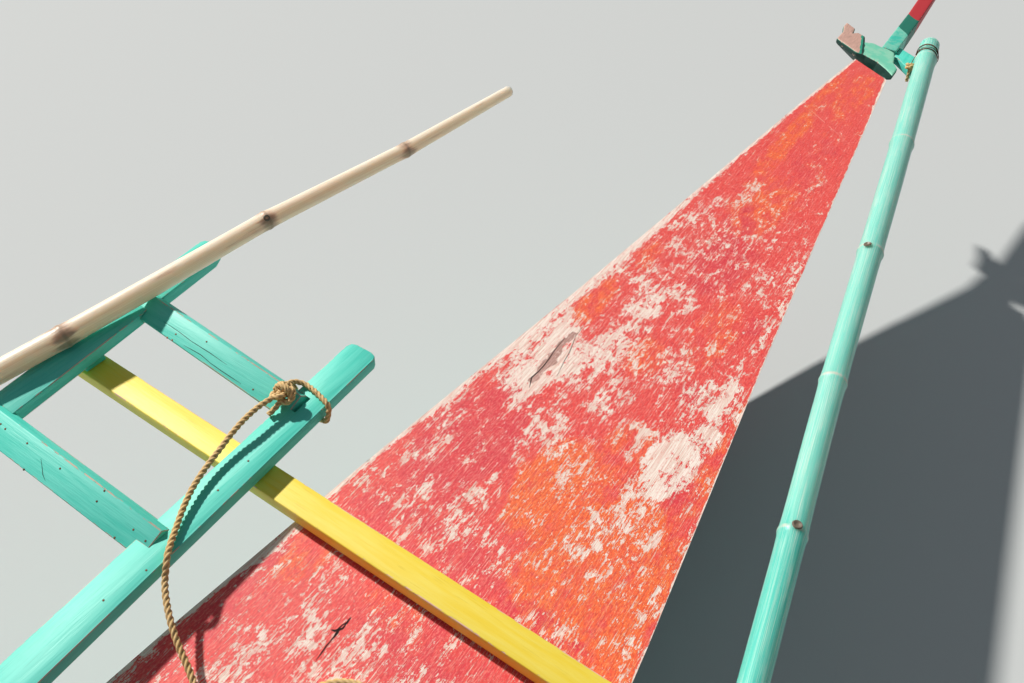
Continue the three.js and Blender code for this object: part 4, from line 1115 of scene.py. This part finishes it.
bamboo_bare = cane_skin(
    "bamboo_bare", (0.95, 0.81, 0.68), (0.82, 0.62, 0.49), (0.36, 0.24, 0.16), soft=1.0)
pole_rows = [
    (-0.2945, 1.4075, 0.110, 0.0309), (0.45, 1.318, 0.1133, 0.03), (1.594, 1.199, 0.101, 0.0287),
    (2.102, 1.1364, 0.104, 0.028), (2.441, 1.087, 0.116, 0.0273), (2.585, 1.060, 0.124, 0.027),
    (2.777, 1.033, 0.1304, 0.0264), (3.136, 0.981, 0.147, 0.0243), (3.591, 0.886, 0.163, 0.0216),
    (4.034, 0.822, 0.178, 0.0171),
]
rows = []
for first, second in zip(pole_rows, pole_rows[1:] + pole_rows[-1:]):
    for part in (0.0, 0.15, 0.85) if first != second else (0.0,):
        x, y, up, radius = [a + (b - a) * part for a, b in zip(first, second)]
        rows.append((x, y, deck_top + up, radius * flat_part))
pole_joints = [-0.12, 0.32, 0.77, 1.24, 1.69, 2.14, 2.585, 3.136, 3.591]
made = cane(rows, pole_joints, 28)
scar = branch_scar((3.130, 0.968, deck_top + 0.165), (-0.25, -0.62, 0.74), 0.009)
fit(made, "bamboo_pole_cane", bamboo_bare, "bamboo", "bamboo_pole", sharp=60)
fit(scar, "bamboo_pole_scar", bamboo_grey, "bamboo")

bamboo_teal = cane_skin(
    "bamboo_teal", (0.66, 0.47, 0.31), (0.48, 0.31, 0.19), (0.30, 0.22, 0.16),
    (0.05, 0.54, 0.45), (0.21, 0.65, 0.55), 0.8)
rail_rows = [
    (5.59, -0.148, 0.0214, 0.038), (5.45, -0.168, 0.0244, 0.038), (4.5, -0.296, 0.0402, 0.036),
    (3.54, -0.424, 0.0563, 0.031), (2.603, -0.562, 0.072, 0.027), (0.45, -0.868, 0.1054, 0.022),
    (0.06, -0.925, 0.1115, 0.021),
]
rows = [(x, y, deck_top + up, radius * flat_part) for x, y, up, radius in rail_rows]
rail_joints = [5.44, 4.75, 4.10, 3.55, 3.091, 2.645, 2.22, 1.78, 1.36, 0.93, 0.5, 0.14]
made = cane(rows, rail_joints, 28)
fit(made, "bamboo_rail_cane", bamboo_teal, "bamboo_teal", "bamboo_rail", sharp=60)
rail_scars = [
    branch_scar((4.088, -0.3345, deck_top + 0.0800), (0.0, 0.449, 0.893), 0.011),
    branch_scar((3.094, -0.4898, deck_top + 0.0951), (0.0, -0.023, 1.0), 0.011),
]
fit(joined(*rail_scars), "bamboo_rail_scars", bamboo_grey, "bamboo")

# Hitch: the same manila line taken round the inner rail, with its bundle of turns drawn tight on the first
# tread. The loop goes over the rail, down its starboard side and back underneath.


def line_through(spacing, *rows):
    """A short length of the rope through places above the deck."""
    return lay_rope(over_deck(*rows), spacing, 14)[0]


knot_heart = Vector((2.752, 0.549, deck_top + 0.1145))
band_route = []
for angle in [tau * step / 16 for step in range(-2, 27)]:
    drift = 0.006 * cos(angle) - 0.004 + 0.0005 * angle
    band_route.append(knot_heart + Vector((drift, 0.021 * sin(angle), 0.0195 * cos(angle))))
hitch_made = joined(
    line_through(
        0.0024, (2.762, 0.552, 0.121), (2.781, 0.563, 0.111), (2.800, 0.561, 0.0995), (2.810, 0.545, 0.0925),
        (2.808, 0.520, 0.0925), (2.803, 0.495, 0.0922), (2.798, 0.474, 0.0915), (2.794, 0.4635, 0.085),
        (2.788, 0.4615, 0.068), (2.782, 0.464, 0.052), (2.780, 0.478, 0.0475), (2.784, 0.505, 0.0475),
        (2.790, 0.535, 0.0475), (2.794, 0.5585, 0.053), (2.795, 0.5625, 0.070), (2.792, 0.5635, 0.090),
        (2.780, 0.563, 0.104), (2.764, 0.556, 0.112)),
    lay_rope(knotted(knot_heart, 0.0165, 0.0085, 0.4), 0.0022, 14)[0],
    lay_rope(band_route, 0.0022, 14)[0],
    line_through(
        0.0022, (2.752, 0.549, 0.116), (2.738, 0.545, 0.108), (2.722, 0.5455, 0.0995),
        (2.700, 0.548, 0.0925)),
    line_through(0.0022, (2.758, 0.548, 0.1205), (2.745, 0.551, 0.1215), (2.7265, 0.556, 0.119)),
)
fit(hitch_made, "rope_hitch_tied", manila_finish, "rope", "rope_hitch", sharp=180)

# Lashings: thin tarred cord round the booms where they cross the gunwales and the aft deck, and round each
# float's two canes beside its booms. Rusted wire and a knotted bit of line hold the painted bamboo's end.
cord_thick = 0.006
boom_wrap, float_wrap = 0.033, 0.028
pair_half_wide, pair_half_high, pair_corner = 0.1075, 0.0575, 3.2
boom_centres = {"front": 0.45, "middle": -1.25, "aft": -2.95}


def wound(start, end, half_a, half_b, axis_a, axis_b, turns, thick=cord_thick, corner=2.0):
    """Cord wound round two axes from one place to another, each turn close beside the one before."""
    start, end, axis_a, axis_b = Vector(start), Vector(end), Vector(axis_a), Vector(axis_b)
    points = []
    for step in range(turns * 24 + 1):
        angle = tau * step / 24
        spot = start.lerp(end, step / (turns * 24))
        across = copysign(abs(cos(angle)) ** (2 / corner), cos(angle))
        over = copysign(abs(sin(angle)) ** (2 / corner), sin(angle))
        points.append(spot + axis_a * half_a * across + axis_b * half_b * over)
    return round_pipe(points, thick / 2, 8)


tarred_cord = oiled_wood("tarred_cord", (0, 0, 1), (0.33, 0.22, 0.12), (0.15, 0.09, 0.045))
lashings = []
for name, x in boom_centres.items():
    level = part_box("boom_" + name)[1].z - boom_radius * flat_part
    half_deck = 0.40 if name == "aft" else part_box("gunwale_port")[1].y - 0.03
    for side in (1, -1):
        for shift in (0.0, 0.11):
            first = side * (half_deck + shift)
            reach = boom_radius + cord_thick * 0.35
            start, end = (x, first, level), (x, first + side * boom_wrap, level)
            lashings.append(wound(start, end, reach, reach, (1, 0, 0), (0, 0, 1), 5))
        for place in (x - 0.062, x + 0.045):
            start = (place, side * float_middle, float_level)
            end = (place + float_wrap, *start[1:])
            lashings.append(wound(
                start, end, pair_half_wide, pair_half_high, (0, 1, 0), (0, 0, 1), 4, corner=pair_corner))
fit(joined(*lashings), "lashings", tarred_cord, "rope", sharp=180)

bow_wires, wire_thick = [], 0.0028
for x, slip, turns in ((5.462, 0.012, 2), (5.500, 0.009, 2), (5.468, 0.036, 1)):
    start = (x, -0.168 + (x - 5.45) / 7, deck_top + 0.0229)
    reach = 0.0393 + 0.0012 * len(bow_wires)
    end = (x + slip, start[1] + 0.001, start[2])
    bow_wires.append(wound(start, end, reach, reach, (0.14, 1, 0), (0, 0, 1), turns, wire_thick))
bow_wires.append(round_pipe(
    over_deck((5.464, -0.129, 0.028), (5.445, -0.1245, 0.012), (5.422, -0.1265, 0.004)), wire_thick / 2, 8))
bow_knot, _ = lay_rope(knotted((5.416, -0.1265, deck_top - 0.001), 0.0095, 0.0052, 0.8), 0.0018, 14)
bow_tail = line_through(
    0.0022, (5.414, -0.128, -0.004), (5.404, -0.131, -0.016), (5.398, -0.134, -0.034),
    (5.398, -0.136, -0.052))
fit(joined(bow_knot, bow_tail), "bow_cord", manila_finish, "rope", sharp=180)
fit(joined(*bow_wires), "bow_wires", rusty_finish, "steel", sharp=180)

# Cracks: long splits that the sun has opened in the first two treads and in the deck's plywood. Each is a
# dark sliver that follows its surface, and two pale ones mark the seam between the deck's sheets.
dark_gap = plain_material("dark_gap", (0.022, 0.012, 0.010), 1.0)
gap_lift = 0.0003


def top_finder(node):
    """A function that gives the place on top of a CAD piece, and its facing, under a point."""
    solid = cad_copy(node)
    surface = BVHTree.FromBMesh(solid)
    solid.free()
    return lambda x, y: surface.ray_cast(Vector((x, y, 2)), Vector((0, 0, -1)))[:2]


def crack(node, *points):
    """A sliver on top of a CAD piece, through points of place and width given from above."""
    find_top = top_finder(node)
    made, pairs = bmesh.new(), []
    for step, (x, y, width) in enumerate(points):
        before, after = points[max(step - 1, 0)], points[min(step + 1, len(points) - 1)]
        aside = Vector((before[1] - after[1], after[0] - before[0], 0)).normalized() * width / 2
        pair = []
        for shift in (aside, -aside):
            place, facing = find_top(x + shift.x, y + shift.y)
            pair.append(made.verts.new(place + facing * gap_lift))
        pairs.append(pair)
    for (left, right), (far_left, far_right) in zip(pairs, pairs[1:]):
        made.faces.new((left, right, far_right, far_left))
    return made


cracks = [
    crack("foredeck", (2.384, 0.134, 0.0005), (2.399, 0.135, 0.0024), (2.414, 0.137, 0.0026),
          (2.425, 0.137, 0.0018), (2.435, 0.137, 0.003), (2.446, 0.138, 0.0056), (2.453, 0.141, 0.003),
          (2.462, 0.140, 0.0022), (2.470, 0.136, 0.004), (2.476, 0.137, 0.0034), (2.483, 0.137, 0.0008)),
    crack("foredeck", (2.443, 0.151, 0.0018), (2.445, 0.144, 0.0044), (2.450, 0.140, 0.0054),
          (2.457, 0.135, 0.004), (2.471, 0.136, 0.0008)),
    crack("foredeck", (3.359, 0.194, 0.0006), (3.310, 0.192, 0.0016), (3.274, 0.188, 0.0022),
          (3.248, 0.186, 0.0026), (3.220, 0.186, 0.0026), (3.193, 0.189, 0.0034), (3.176, 0.181, 0.002),
          (3.163, 0.176, 0.0006)),
    crack("foredeck", (3.419, 0.177, 0.0005), (3.377, 0.174, 0.0012), (3.325, 0.159, 0.0014),
          (3.287, 0.153, 0.0012), (3.232, 0.141, 0.0005)),
    crack("tread_1", (2.742, 0.862, 0.0004), (2.743, 0.835, 0.0012), (2.7435, 0.806, 0.0014),
          (2.739, 0.77, 0.001), (2.737, 0.734, 0.0014), (2.736, 0.70, 0.0012), (2.735, 0.669, 0.0004)),
    crack("tread_1", (2.764, 0.953, 0.0004), (2.762, 0.90, 0.0012), (2.758, 0.851, 0.0010),
          (2.757, 0.79, 0.0014), (2.754, 0.733, 0.0004)),
    crack("tread_2", (2.356, 0.835, 0.0004), (2.345, 0.818, 0.001), (2.336, 0.805, 0.0012),
          (2.330, 0.790, 0.0004)),
]
fit(joined(*cracks), "cracks", dark_gap, "deck_red", sharp=180)
pale_seam = plain_material("pale_seam", (0.90, 0.42, 0.34), 0.7)
seam = joined(
    crack("foredeck_tip", (4.858, 0.085, 0.0006), (4.815, 0.028, 0.0022), (4.797, 0.003, 0.0018)),
    crack("foredeck", (4.784, -0.014, 0.0018), (4.768, -0.036, 0.0016), (4.708, -0.118, 0.0006)))
fit(seam, "deck_seam", pale_seam, "deck_red", sharp=180)

# Nails: round steel heads, rusted brown, driven into the treads and rails. Each head is set on the surface
# that it holds, and most stand a little proud of the paint.


def nails_in(node, spots, radius=0.0026, thick=0.0016):
    """Nail heads on top of a CAD piece, at places given from above."""
    find_top = top_finder(node)
    heads = []
    for x, y in spots:
        place, facing = find_top(x, y)
        if place is None:
            continue
        head = bmesh.new()
        turn = facing.to_track_quat("Z", "Y").to_matrix().to_4x4()
        bmesh.ops.create_cone(
            head, cap_ends=True, segments=9, radius1=radius, radius2=radius * 0.75, depth=thick,
            matrix=Matrix.Translation(place) @ turn)
        heads.append(head)
    return heads


nails = nails_in("tread_2", (
    (2.360, 0.957), (2.362, 0.975), (2.363, 0.888), (2.323, 0.850), (2.362, 0.782), (2.355, 0.662),
    (2.354, 0.555), (2.325, 0.577), (2.351, 0.518), (2.377, 0.664)))
nails += nails_in("tread_1", (
    (2.754, 0.901), (2.739, 0.898), (2.774, 0.818), (2.730, 0.770), (2.738, 0.635), (2.738, 0.914)))
nails += nails_in("ladder_rail_inner", ((2.593, 0.499), (2.230, 0.483), (2.312, 0.469), (2.508, 0.495)))
for number, x in ((3, 1.955), (4, 1.549), (5, 1.143), (6, 0.737)):
    nails += nails_in("tread_" + str(number), ((x, 0.53), (x - 0.02, 0.56), (x, 0.87), (x - 0.02, 0.84)))
fit(joined(*nails), "nail_heads", rusty_finish, "steel", sharp=30)
